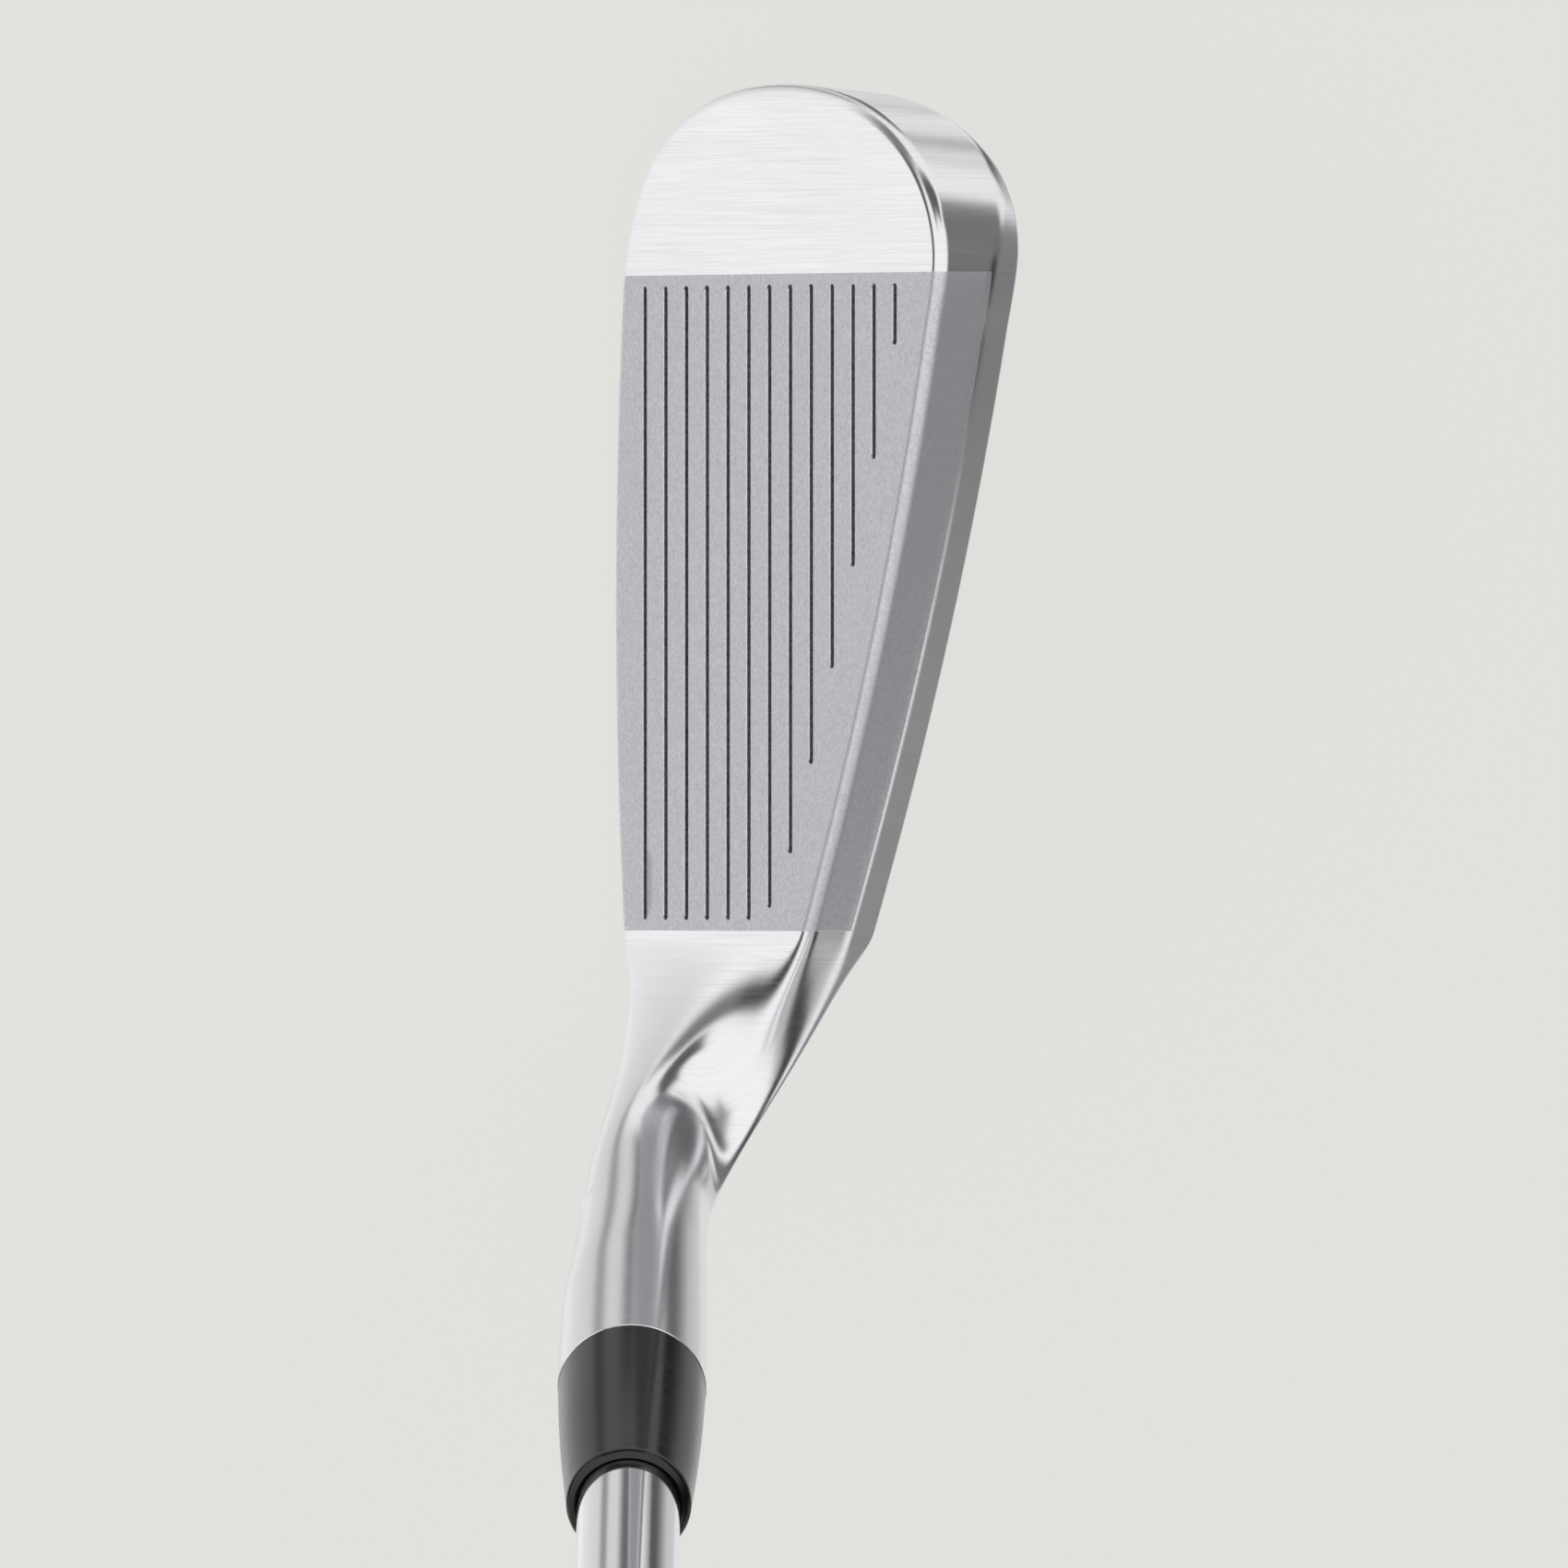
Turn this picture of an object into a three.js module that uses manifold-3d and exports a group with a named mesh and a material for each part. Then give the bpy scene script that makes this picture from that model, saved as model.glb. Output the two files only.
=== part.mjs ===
// Right-handed iron golf club, soled on the ground at address.
// Millimetres. The origin is the point of the sole that touches the ground.
// +X runs from toe to heel (towards the player), +Y away from the target, +Z up.
// The face looks towards -Y, and the shaft leans towards +X by the lie angle.
import * as THREE from "three";
import { mergeVertices } from "three/addons/utils/BufferGeometryUtils.js";
import Module from "manifold-3d";

const wasm = await Module();
wasm.setup();

const RAD = Math.PI / 180;

// ---------------------------------------------------------------- driving dimensions
const LOFT = 30.5 * RAD; // face leans back from the vertical
const LIE = 62.5 * RAD; // shaft above the ground
const LEAN = 1.3 * RAD; // the hands sit slightly ahead of the head, seen from above
const CLUB_LENGTH = 940; // along the shaft, from the ground to the butt

// Blade. "up" is measured on the face plane from the sharp corner of face and sole,
// "deep" square to the face, towards the back.
const CORNER_Y = -9.1;
const TOE_X = -45.6; // toe tip
const TOE_UP = 28.6; // height of the toe tip on the face
const CROWN_X = -31; // the round of the toe ends near the top of the toe
const CROWN_UP = 56.9;
const TOPLINE_X = -22.5; // the topline proper starts here
const BLADE_END_X = 29.5; // the blade stops here and the neck starts
const TOPLINE_MIDDLE_X = 3.5;
const TOPLINE_UP = 46.25; // height, fall and bow of the topline, at its middle
const TOPLINE_SLOPE = 0.402;
const TOPLINE_BOW = 0.00237;
const SOLE_BOW = 1.42; // rise of the leading edge at the ends of the scoring
const SCORING_HALF = 28.8; // half width of the scoring area
const SOLE_END_X = -26; // the round of the toe meets the sole here
const SOLE_WIDTH = 20.4; // leading edge to trailing edge
const SOLE_RADIUS = 44; // front to back camber
const SOLE_LAND = 0.05; // depth of the flat worn on the lowest point of the sole
const LEADING_RADIUS = 1.8;
const EDGE_RADIUS = 1.05; // round between face and topline
const TRAILING_RADIUS = 2.4;
const TOPLINE_DEPTH = 4.9; // flat of the topline, at the middle
const TOPLINE_TAPER = 0.02; // thinner towards the heel, per mm
const BEVEL_DEEP = 3.3; // bevel behind the topline
const BEVEL_DROP = 1.0;
const BEVEL_END_X = -27; // the bevel narrows from here
const TOE_CORNER_X = -40.4; // and is gone here
const TOE_WALL_DEEP = 8.5; // depth of the toe wall
const TOE_WALL_DRAFT = 0.8; // the wall closes in by this much towards the back
const RIM_WIDTH = 5; // topline rim, seen from behind
const CREST_HEIGHT = 11.4; // top of the muscle above the ground

// Scoring lines
const GROOVE_PITCH = 3.6;
const GROOVE_WIDTH = 0.66;
const GROOVE_DEPTH = 0.45;
const GROOVE_COUNT = 13;
const GROOVE_FIRST_UP = 6.2;
const GROOVE_HALF = 27.85;
const FULL_GROOVES = 6; // the next is a little shorter, and the rest follow the topline
const GROOVE_RUN = 7.6;
const GROOVE_CURVE = 0.26;
const GROOVE_SHORT_END = 22;

// Cavity in the back, badge and weight screw
const FACE_THICKNESS = 2.6;
const CAVITY_FLOOR_UP = 17;
const PAD_THICKNESS = 0.9;
const BADGE_THICKNESS = 1.2;
const GAP = 0.3; // clearance between a piece and the pocket that holds it
const SCREW_RADIUS = 3.2;
const SCREW_LENGTH = 8;
const SCREW_X = -25;
const SCREW_Z = 7.1;
const SOCKET_RADIUS = 1.7;
const SOCKET_DEPTH = 3;

// Hosel, ferrule, shaft and grip, measured along the shaft axis from the ground
const AXIS_GROUND = new THREE.Vector3(37.5, -6.25, 0);
const HOSEL_RADIUS = 6.5; // at the ferrule
const HOSEL_WAIST_RADIUS = 6.15; // where it leaves the neck
const HOSEL_FRONT_START = 38; // where the hosel's round part starts, up the axis, at its front
const CROTCH_DROP = 14; // how much lower it starts where the topline runs into it
const CROTCH_ANGLE = 120 * RAD;
const CROTCH_FRONT_SPREAD = 90 * RAD;
const CROTCH_BACK_SPREAD = 110 * RAD;
const NECK_LEAVE = 1; // how long the blade's direction carries into the neck
const NECK_LEAVE_FRONT = 0.3;
const NECK_ARRIVE_FRONT = 1.5;
const HOSEL_TOP = 67.8;
const BORE_RADIUS = 5.05;
const BORE_BOTTOM = 36;
const TIP_RADIUS = 4.5;
const TIP_WALL = 1.3;
const BUTT_RADIUS = 7.62;
const BUTT_WALL = 0.6;
const SHAFT_START = 39;
const FIRST_STEP = 280;
const STEP_SPACING = 32;
const STEP_COUNT = 13;
const FERRULE_LENGTH = 21.6;
const FERRULE_END_RADIUS = 5.48;
const FERRULE_SWELL = 0.16; // the sides of the ferrule are slightly convex
const GRIP_LENGTH = 267;
const GRIP_MOUTH_RADIUS = 8.9;
const GRIP_BUTT_RADIUS = 13.1;
const CAP_THICKNESS = 5;
const VENT_RADIUS = 1.2;
const GRIP_TAPER_POWER = 1.15;
const TAPE_THICKNESS = 0.25;
const TIP_WEIGHT_LENGTH = 16;
const STEP_RAMP = 1; // length of each step's shoulder
const BAND_START = 636;
const BAND_LENGTH = 22;
const BAND_THICKNESS = 0.15;
const SLEEVE_GAP = 0.1; // clearance between sleeves round the shaft
const SEGMENTS = 24; // facets round the shaft's pieces

// ---------------------------------------------------------------- small helpers
const mix = (a, b, t) => a + (b - a) * t;
const smooth = (t) => {
  const c = Math.min(1, Math.max(0, t));
  return c * c * (3 - 2 * c);
};

// A closed three.js geometry as a manifold-3d solid.
function solidFrom(geometry) {
  const bare = new THREE.BufferGeometry();
  bare.setAttribute("position", geometry.getAttribute("position").clone());
  if (geometry.index) bare.setIndex(geometry.index.clone());
  const merged = mergeVertices(bare, 1e-4);
  const solid = new wasm.Manifold(
    new wasm.Mesh({
      numProp: 3,
      vertProperties: new Float32Array(merged.attributes.position.array),
      triVerts: new Uint32Array(merged.index.array),
    }),
  );
  if (solid.status() !== "NoError") throw new Error("open solid: " + solid.status());
  return solid;
}

// A manifold-3d solid back as a three.js geometry.
function geometryFrom(solid) {
  const mesh = solid.getMesh();
  const geometry = new THREE.BufferGeometry();
  geometry.setAttribute("position", new THREE.BufferAttribute(mesh.vertProperties, 3));
  geometry.setIndex(new THREE.BufferAttribute(mesh.triVerts, 1));
  geometry.computeVertexNormals();
  return geometry;
}

// A profile of [radius, height] pairs turned about +Z.
function turned(profile, segments = SEGMENTS) {
  const points = profile.map(([r, z]) => new THREE.Vector2(r, z));
  return new THREE.LatheGeometry(points, segments).rotateX(Math.PI / 2);
}

// A sleeve between two radii, from one height to another.
function sleeve(inner, outer, low, high) {
  return turned([[inner, low], [outer, low], [outer, high], [inner, high], [inner, low]]);
}

function material(color, metalness, roughness) {
  return new THREE.MeshStandardMaterial({ color, metalness, roughness });
}

function part(name, geometry, finish) {
  const mesh = new THREE.Mesh(geometry, finish);
  mesh.name = name;
  return mesh;
}

// ---------------------------------------------------------------- blade
const CORNER_Z = CORNER_Y ** 2 / (2 * SOLE_RADIUS); // the camber carried to the leading edge

// Face coordinates to the club's frame.
function facePoint(x, up, deep) {
  return new THREE.Vector3(
    x,
    CORNER_Y + up * Math.sin(LOFT) + deep * Math.cos(LOFT),
    CORNER_Z + up * Math.cos(LOFT) - deep * Math.sin(LOFT),
  );
}

// Turns and places a geometry made in x, up, deep onto the face.
function ontoFace(geometry) {
  const matrix = new THREE.Matrix4().makeBasis(
    new THREE.Vector3(1, 0, 0),
    new THREE.Vector3(0, Math.sin(LOFT), Math.cos(LOFT)),
    new THREE.Vector3(0, -Math.cos(LOFT), Math.sin(LOFT)),
  );
  return geometry.applyMatrix4(matrix.setPosition(0, CORNER_Y, CORNER_Z));
}

// A point given as distance back from the corner and height above the ground, as [up, deep].
function fromGround(back, height) {
  const rise = height - CORNER_Z;
  return [
    back * Math.sin(LOFT) + rise * Math.cos(LOFT),
    back * Math.cos(LOFT) - rise * Math.sin(LOFT),
  ];
}

const curve = (...p) => new THREE.CubicBezierCurve(...p.map(([x, y]) => new THREE.Vector2(x, y)));
const toplineAt = (x) => {
  const along = x - TOPLINE_MIDDLE_X;
  return TOPLINE_UP - TOPLINE_SLOPE * along - TOPLINE_BOW * along * along;
};
const soleAt = (x) => SOLE_BOW * (x / SCORING_HALF) ** 2;

const TOE_TOP = curve([TOE_X, TOE_UP], [TOE_X, 46], [-38.8, 56], [CROWN_X, CROWN_UP]);
const CROWN = curve(
  [CROWN_X, CROWN_UP],
  [CROWN_X + 2.6, CROWN_UP + 0.3],
  [TOPLINE_X - 3, toplineAt(TOPLINE_X - 3)],
  [TOPLINE_X, toplineAt(TOPLINE_X)],
);
const TOE_SOLE = curve([TOE_X, TOE_UP], [TOE_X, 8], [-37.5, 2.1], [SOLE_END_X, soleAt(SOLE_END_X)]);
const TOE_STEPS = 16;
const CROWN_STEPS = 3;
const BLADE_STEPS = 7;

// Matching points of the upper and lower outline, from the toe tip to the end of the blade.
function outlinePairs() {
  const pairs = [];
  const steps = TOE_STEPS + CROWN_STEPS;
  for (let i = 0; i <= steps; i++) {
    const upper =
      i <= TOE_STEPS ? TOE_TOP.getPoint(i / TOE_STEPS) : CROWN.getPoint((i - TOE_STEPS) / CROWN_STEPS);
    const lower = TOE_SOLE.getPoint(i / steps);
    pairs.push([upper, lower]);
  }
  for (let i = 1; i <= BLADE_STEPS; i++) {
    const t = i / BLADE_STEPS;
    const top = mix(TOPLINE_X, BLADE_END_X, t);
    const bottom = mix(SOLE_END_X, BLADE_END_X, t);
    pairs.push([new THREE.Vector2(top, toplineAt(top)), new THREE.Vector2(bottom, soleAt(bottom))]);
  }
  return pairs;
}

// Half of the blade's edge, from the face to the back, as [in, deep] pairs. "in" is measured
// square to the outline, inwards. This is the topline and the toe wall.
function toplineEdge(point) {
  const toeward = smooth((BEVEL_END_X - point.x) / (BEVEL_END_X - TOE_CORNER_X));
  const flat = mix(TOPLINE_DEPTH - TOPLINE_TAPER * point.x, TOE_WALL_DEEP, toeward);
  const bevel = mix(BEVEL_DEEP, 0.7, toeward);
  const drop = mix(BEVEL_DROP, 0.4, toeward);
  const draft = TOE_WALL_DRAFT * toeward;
  const r = EDGE_RADIUS;
  const edge = [0, 30, 60, 90].map((a) => [r - r * Math.sin(a * RAD), r - r * Math.cos(a * RAD)]);
  return [
    ...edge,
    [draft * 0.3, flat * 0.45],
    [draft * 0.7, flat * 0.8],
    [draft, flat - 0.2],
    [draft + 0.15, flat + 0.25],
    [draft + drop * 0.6, flat + bevel * 0.6],
    [draft + drop, flat + bevel - 0.3],
    [draft + drop + 0.6, flat + bevel],
    [draft + drop + RIM_WIDTH - 0.8, flat + bevel + 0.1],
  ];
}

// The same for the sole: leading edge, camber, trailing edge and the back of the muscle.
function soleEdge() {
  const slope = Math.atan2(-CORNER_Y, SOLE_RADIUS);
  const wedge = Math.PI / 2 - LOFT + slope; // angle between the face and the sole
  const set = LEADING_RADIUS / Math.tan(wedge / 2);
  const bow = [0, 1 / 3, 2 / 3, 1].map((t) => {
    // from the tangent point on the face to the tangent point on the sole
    const turn = (Math.PI - wedge) * t;
    const u = set - LEADING_RADIUS * Math.sin(turn);
    const d = LEADING_RADIUS * (1 - Math.cos(turn));
    return [u, d];
  });
  const camber = (back) => fromGround(back, (CORNER_Y + back) ** 2 / (2 * SOLE_RADIUS) - SOLE_LAND);
  const trail = TRAILING_RADIUS;
  const base = (CORNER_Y + SOLE_WIDTH) ** 2 / (2 * SOLE_RADIUS);
  return [
    ...bow,
    camber(mix(2.6, SOLE_WIDTH, 0.22)),
    camber(mix(2.6, SOLE_WIDTH, 0.36)),
    camber(mix(2.6, SOLE_WIDTH, 0.62)),
    camber(SOLE_WIDTH - trail),
    fromGround(SOLE_WIDTH - trail * 0.29, base + trail * 0.29),
    fromGround(SOLE_WIDTH, base + trail),
    fromGround(SOLE_WIDTH - 0.1, CREST_HEIGHT - 0.9),
    fromGround(SOLE_WIDTH - 1.1, CREST_HEIGHT),
  ];
}

// A point of the edge carried square to the outline. The outline runs from the toe tip.
function edgePoint(point, tangent, side, [inset, deep]) {
  const inward = new THREE.Vector2(tangent.y, -tangent.x).multiplyScalar(side);
  return facePoint(point.x + inward.x * inset, point.y + inward.y * inset, deep);
}

const FACE_POINTS = 8;
const BACK_POINTS = 3;

// One closed ring round the blade for each pair of outline points.
function bladeRings() {
  const pairs = outlinePairs();
  const sole = soleEdge();
  const direction = (index, which) => {
    const before = pairs[Math.max(0, index - 1)][which];
    const after = pairs[Math.min(pairs.length - 1, index + 1)][which];
    return new THREE.Vector2().subVectors(after, before).normalize();
  };
  return pairs.map(([upper, lower], index) => {
    const along = index / (TOE_STEPS + CROWN_STEPS);
    const tip = index === 0;
    const upTangent = tip ? new THREE.Vector2(0, 1) : direction(index, 0);
    const downTangent = tip ? new THREE.Vector2(0, -1) : direction(index, 1);
    const turn = smooth(along);
    const wall = toplineEdge(lower);
    const lowEdge = wall.map((w, k) => [mix(w[0], sole[k][0], turn), mix(w[1], sole[k][1], turn)]);
    const top = toplineEdge(upper).map((e) => edgePoint(upper, upTangent, 1, e));
    const bottom = lowEdge.map((e) => edgePoint(lower, downTangent, -1, e));
    return closeRing(top, bottom);
  });
}

// Joins the topline edge and the sole edge into a ring with straight runs over face and back.
function closeRing(top, bottom) {
  const ring = [bottom[0]];
  for (let i = 1; i <= FACE_POINTS; i++) {
    ring.push(bottom[0].clone().lerp(top[0], i / (FACE_POINTS + 1)));
  }
  ring.push(...top);
  const last = top.length - 1;
  for (let i = 1; i <= BACK_POINTS; i++) {
    ring.push(top[last].clone().lerp(bottom[last], i / (BACK_POINTS + 1)));
  }
  for (let k = last; k > 0; k--) ring.push(bottom[k]);
  return ring;
}

// ---------------------------------------------------------------- neck and hosel
const AXIS = new THREE.Vector3(
  Math.cos(LIE) * Math.cos(LEAN),
  -Math.cos(LIE) * Math.sin(LEAN),
  Math.sin(LIE),
);
const AXIS_FRONT = new THREE.Vector3(0, -1, 0).projectOnPlane(AXIS).normalize();
const AXIS_TOE = new THREE.Vector3().crossVectors(AXIS_FRONT, AXIS).normalize();

// A point on the hosel: angle 0 is the front, 90 degrees the side towards the toe.
function hoselPoint(along, angle, radius = HOSEL_RADIUS) {
  return AXIS_GROUND.clone()
    .addScaledVector(AXIS, along)
    .addScaledVector(AXIS_FRONT, radius * Math.cos(angle))
    .addScaledVector(AXIS_TOE, radius * Math.sin(angle));
}

// Where each point of the blade's last ring arrives on the hosel, in degrees.
function hoselAngles(count) {
  const edge = 12;
  const keys = [
    [0, -42],
    [FACE_POINTS + 1, 138],
    [FACE_POINTS + 4, 158],
    [FACE_POINTS + 8, 186],
    [FACE_POINTS + edge, 214],
    [FACE_POINTS + BACK_POINTS + edge + 1, 250],
    [count, 318],
  ];
  const angles = [];
  for (let i = 0; i < count; i++) {
    const k = keys.findIndex(([at]) => at > i);
    const [a, from] = keys[k - 1];
    const [b, to] = keys[k];
    angles.push(mix(from, to, (i - a) / (b - a)) * RAD);
  }
  return angles;
}

const NECK_STEPS = 11;

// Smooth lines from the blade's last ring to the hosel, tangent at both ends.
function hoselStart(angle) {
  const away = angle - CROTCH_ANGLE;
  const spread = away < 0 ? CROTCH_FRONT_SPREAD : CROTCH_BACK_SPREAD;
  return HOSEL_FRONT_START - CROTCH_DROP * smooth(1 - Math.abs(away) / spread);
}

function neckRings(last, previous) {
  const angles = hoselAngles(last.length);
  const lines = last.map((from, i) => {
    const angle = angles[i];
    const to = hoselPoint(hoselStart(angle), angle, HOSEL_WAIST_RADIUS);
    const reach = from.distanceTo(to);
    const front = Math.max(0, Math.cos(angle));
    const leave = from.clone().sub(previous[i]).normalize();
    leave.multiplyScalar(reach * mix(NECK_LEAVE, NECK_LEAVE_FRONT, front));
    const arrive = AXIS.clone().multiplyScalar(reach * mix(1, NECK_ARRIVE_FRONT, front));
    return (t) => {
      const s = t * t * (3 - 2 * t);
      const point = from.clone().lerp(to, s);
      point.addScaledVector(leave, t * (1 - t) * (1 - t));
      return point.addScaledVector(arrive, t * t * (t - 1));
    };
  });
  const rings = [];
  for (let i = 1; i <= NECK_STEPS; i++) rings.push(lines.map((line) => line(i / NECK_STEPS)));
  rings.push(angles.map((angle) => hoselPoint(HOSEL_TOP, angle)));
  return rings;
}

// Rings skinned into a closed body: the first one is folded shut, the last gets a flat cap.
function skinned(rings) {
  const count = rings[0].length;
  const centre = hoselPoint(HOSEL_TOP, 0, 0);
  const points = [...rings.flat(), centre];
  const index = [];
  for (let r = 0; r + 1 < rings.length; r++) {
    for (let i = 0; i < count; i++) {
      const a = r * count + i;
      const b = r * count + ((i + 1) % count);
      index.push(a, a + count, b, b, a + count, b + count);
    }
  }
  const start = (rings.length - 1) * count;
  for (let i = 0; i < count; i++) index.push(start + i, points.length - 1, start + ((i + 1) % count));
  const geometry = new THREE.BufferGeometry();
  const flat = points.flatMap((p) => [p.x, p.y, p.z]);
  geometry.setAttribute("position", new THREE.Float32BufferAttribute(flat, 3));
  geometry.setIndex(index);
  return withoutSlivers(mergeVertices(geometry, 1e-4));
}

// Drops the triangles that folded flat where points met.
function withoutSlivers(geometry) {
  const kept = [];
  const { array } = geometry.index;
  for (let i = 0; i < array.length; i += 3) {
    const [a, b, c] = [array[i], array[i + 1], array[i + 2]];
    if (a !== b && b !== c && c !== a) kept.push(a, b, c);
  }
  geometry.setIndex(kept);
  return geometry;
}

// ---------------------------------------------------------------- cuts in the head
function grooveCutter(index) {
  const up = GROOVE_FIRST_UP + GROOVE_PITCH * index;
  const short = index - FULL_GROOVES - 1;
  const follow = GROOVE_SHORT_END - GROOVE_RUN * short - GROOVE_CURVE * short * short;
  const end = index < FULL_GROOVES ? GROOVE_HALF : Math.min(GROOVE_HALF - 1.1, follow);
  const r = GROOVE_WIDTH / 2;
  const shape = new THREE.Shape();
  shape.absarc(end - r, up, r, -Math.PI / 2, Math.PI / 2);
  shape.absarc(-GROOVE_HALF + r, up, r, Math.PI / 2, (3 * Math.PI) / 2);
  const settings = { depth: GROOVE_DEPTH + 1, bevelEnabled: false, curveSegments: 4 };
  const cutter = new THREE.ExtrudeGeometry(shape, settings);
  return ontoFace(cutter.translate(0, 0, -GROOVE_DEPTH));
}

// Outline of the cavity on the face plane, drawn in by an inset.
function cavityShape(inset) {
  const low = CAVITY_FLOOR_UP + inset;
  const slope = Math.hypot(1, TOPLINE_SLOPE);
  const high = (x) => toplineAt(x) - (RIM_WIDTH + 0.6 + inset) * slope;
  const heel = 22 - inset;
  const toe = -37 + inset;
  const shape = new THREE.Shape();
  shape.moveTo(toe + 12, low);
  shape.lineTo(heel - 4, low);
  shape.quadraticCurveTo(heel, low, heel, low + 3.5);
  shape.lineTo(heel, high(heel) - 3);
  shape.quadraticCurveTo(heel, high(heel), heel - 3.5, high(heel - 3.5));
  shape.lineTo(-21 + inset / 2, high(-21 + inset / 2));
  shape.bezierCurveTo(-26, high(-26), toe + 3.5, high(-26) - 3, toe + 0.8, low + 19);
  shape.bezierCurveTo(toe - 0.8, low + 10, toe + 3, low, toe + 12, low);
  return shape;
}

function cavityLayer(inset, from, to) {
  const settings = { depth: to - from, bevelEnabled: false, curveSegments: 8 };
  const layer = new THREE.ExtrudeGeometry(cavityShape(inset), settings);
  return ontoFace(layer.translate(0, 0, -to));
}

// A round piece standing on the back of the muscle, its axis along +Y.
function onMuscle(geometry) {
  return geometry.rotateX(-Math.PI / 2).translate(SCREW_X, CORNER_Y + SOLE_WIDTH, SCREW_Z);
}

function alongShaft(geometry) {
  const turn = new THREE.Quaternion().setFromUnitVectors(new THREE.Vector3(0, 0, 1), AXIS);
  return geometry.applyQuaternion(turn).translate(AXIS_GROUND.x, AXIS_GROUND.y, AXIS_GROUND.z);
}

function headGeometry() {
  const blade = bladeRings();
  const neck = neckRings(blade[blade.length - 1], blade[blade.length - 2]);
  let head = solidFrom(skinned([...blade, ...neck]));
  const cut = (geometry) => {
    head = head.subtract(solidFrom(geometry));
  };
  for (let i = 0; i < GROOVE_COUNT; i++) cut(grooveCutter(i));
  cut(cavityLayer(0, FACE_THICKNESS, 30));
  cut(alongShaft(turned([[0, BORE_BOTTOM], [BORE_RADIUS, BORE_BOTTOM], [BORE_RADIUS, 90], [0, 90]])));
  const hole = SCREW_RADIUS + GAP;
  const depth = SCREW_LENGTH + GAP;
  cut(onMuscle(turned([[0, -depth], [hole, -depth], [hole, 5], [0, 5]])));
  cut(new THREE.BoxGeometry(200, 200, 20).translate(0, 0, -10));
  return geometryFrom(head);
}

// ---------------------------------------------------------------- shaft, ferrule and grip
const TAPER_STEP = (BUTT_RADIUS - TIP_RADIUS) / STEP_COUNT;

// Outer radius of the stepped shaft at a distance along the axis.
function shaftRadius(along) {
  const steps = Math.floor((along - FIRST_STEP) / STEP_SPACING) + 1;
  return TIP_RADIUS + TAPER_STEP * Math.min(STEP_COUNT, Math.max(0, steps));
}

function shaftGeometry() {
  const outside = [[TIP_RADIUS, SHAFT_START]];
  for (let i = 0; i < STEP_COUNT; i++) {
    const at = FIRST_STEP + STEP_SPACING * i;
    outside.push([TIP_RADIUS + TAPER_STEP * i, at]);
    outside.push([TIP_RADIUS + TAPER_STEP * (i + 1), at + STEP_RAMP]);
  }
  const end = CLUB_LENGTH - CAP_THICKNESS - GAP;
  outside.push([BUTT_RADIUS, end], [BUTT_RADIUS - BUTT_WALL, end]);
  const inside = [TIP_RADIUS - TIP_WALL, SHAFT_START];
  const lastStep = FIRST_STEP + STEP_SPACING * STEP_COUNT;
  return turned([...outside, [BUTT_RADIUS - BUTT_WALL, lastStep], inside, outside[0]]);
}

function ferruleGeometry() {
  const low = HOSEL_TOP + GAP;
  const high = low + FERRULE_LENGTH;
  const side = [];
  for (let i = 0; i <= 4; i++) {
    const t = i / 4;
    const radius = mix(HOSEL_RADIUS, FERRULE_END_RADIUS, t) + FERRULE_SWELL * 4 * t * (1 - t);
    side.push([radius, mix(low, high - 0.5, t)]);
  }
  const inner = TIP_RADIUS + SLEEVE_GAP;
  const dome = [[FERRULE_END_RADIUS - 0.3, high - 0.1], [inner + 0.3, high], [inner, high - 0.3]];
  return turned([[inner, low], ...side, ...dome, [inner, low]]);
}

function tipWeightGeometry() {
  const base = BORE_BOTTOM + GAP;
  const shoulder = SHAFT_START - GAP;
  const stem = TIP_RADIUS - TIP_WALL - GAP;
  const head = TIP_RADIUS - SLEEVE_GAP;
  const end = shoulder + TIP_WEIGHT_LENGTH;
  return turned([[0, base], [head, base], [head, shoulder], [stem, shoulder], [stem, end], [0, end]]);
}

const gripStart = CLUB_LENGTH - GRIP_LENGTH;
const gripEnd = CLUB_LENGTH - CAP_THICKNESS - GAP;
const tapeInner = BUTT_RADIUS + SLEEVE_GAP;
const gripInner = tapeInner + TAPE_THICKNESS + SLEEVE_GAP;

function gripGeometry() {
  const outside = [[gripInner, gripStart], [GRIP_MOUTH_RADIUS - 0.3, gripStart]];
  outside.push([GRIP_MOUTH_RADIUS, gripStart + 0.6]);
  for (let i = 1; i <= 8; i++) {
    const t = i / 8;
    const radius = mix(GRIP_MOUTH_RADIUS, GRIP_BUTT_RADIUS, t ** GRIP_TAPER_POWER);
    outside.push([radius, mix(gripStart, gripEnd, t)]);
  }
  return turned([...outside, [gripInner, gripEnd], [gripInner, gripStart]]);
}

function gripCapGeometry() {
  const low = CLUB_LENGTH - CAP_THICKNESS;
  const r = GRIP_BUTT_RADIUS;
  return turned([
    [VENT_RADIUS, low],
    [r, low],
    [r + 0.25, low + 1.2],
    [r + 0.1, CLUB_LENGTH - 2],
    [r - 0.8, CLUB_LENGTH - 0.6],
    [r - 2.4, CLUB_LENGTH],
    [VENT_RADIUS, CLUB_LENGTH],
    [VENT_RADIUS, low],
  ]);
}

// Cylinder head screw with a six-sided socket, standing in the back of the muscle.
function weightScrewGeometry() {
  const chamfer = 0.4;
  const top = -0.2; // just below the surface
  const body = turned([
    [0, -SCREW_LENGTH],
    [SCREW_RADIUS - chamfer, -SCREW_LENGTH],
    [SCREW_RADIUS, -SCREW_LENGTH + chamfer],
    [SCREW_RADIUS, top - chamfer],
    [SCREW_RADIUS - chamfer, top],
    [0, top],
  ]);
  const socket = turned([[0, -SOCKET_DEPTH], [SOCKET_RADIUS, -SOCKET_DEPTH], [SOCKET_RADIUS, 2], [0, 2]], 6);
  return onMuscle(geometryFrom(solidFrom(body).subtract(solidFrom(socket))));
}

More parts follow.
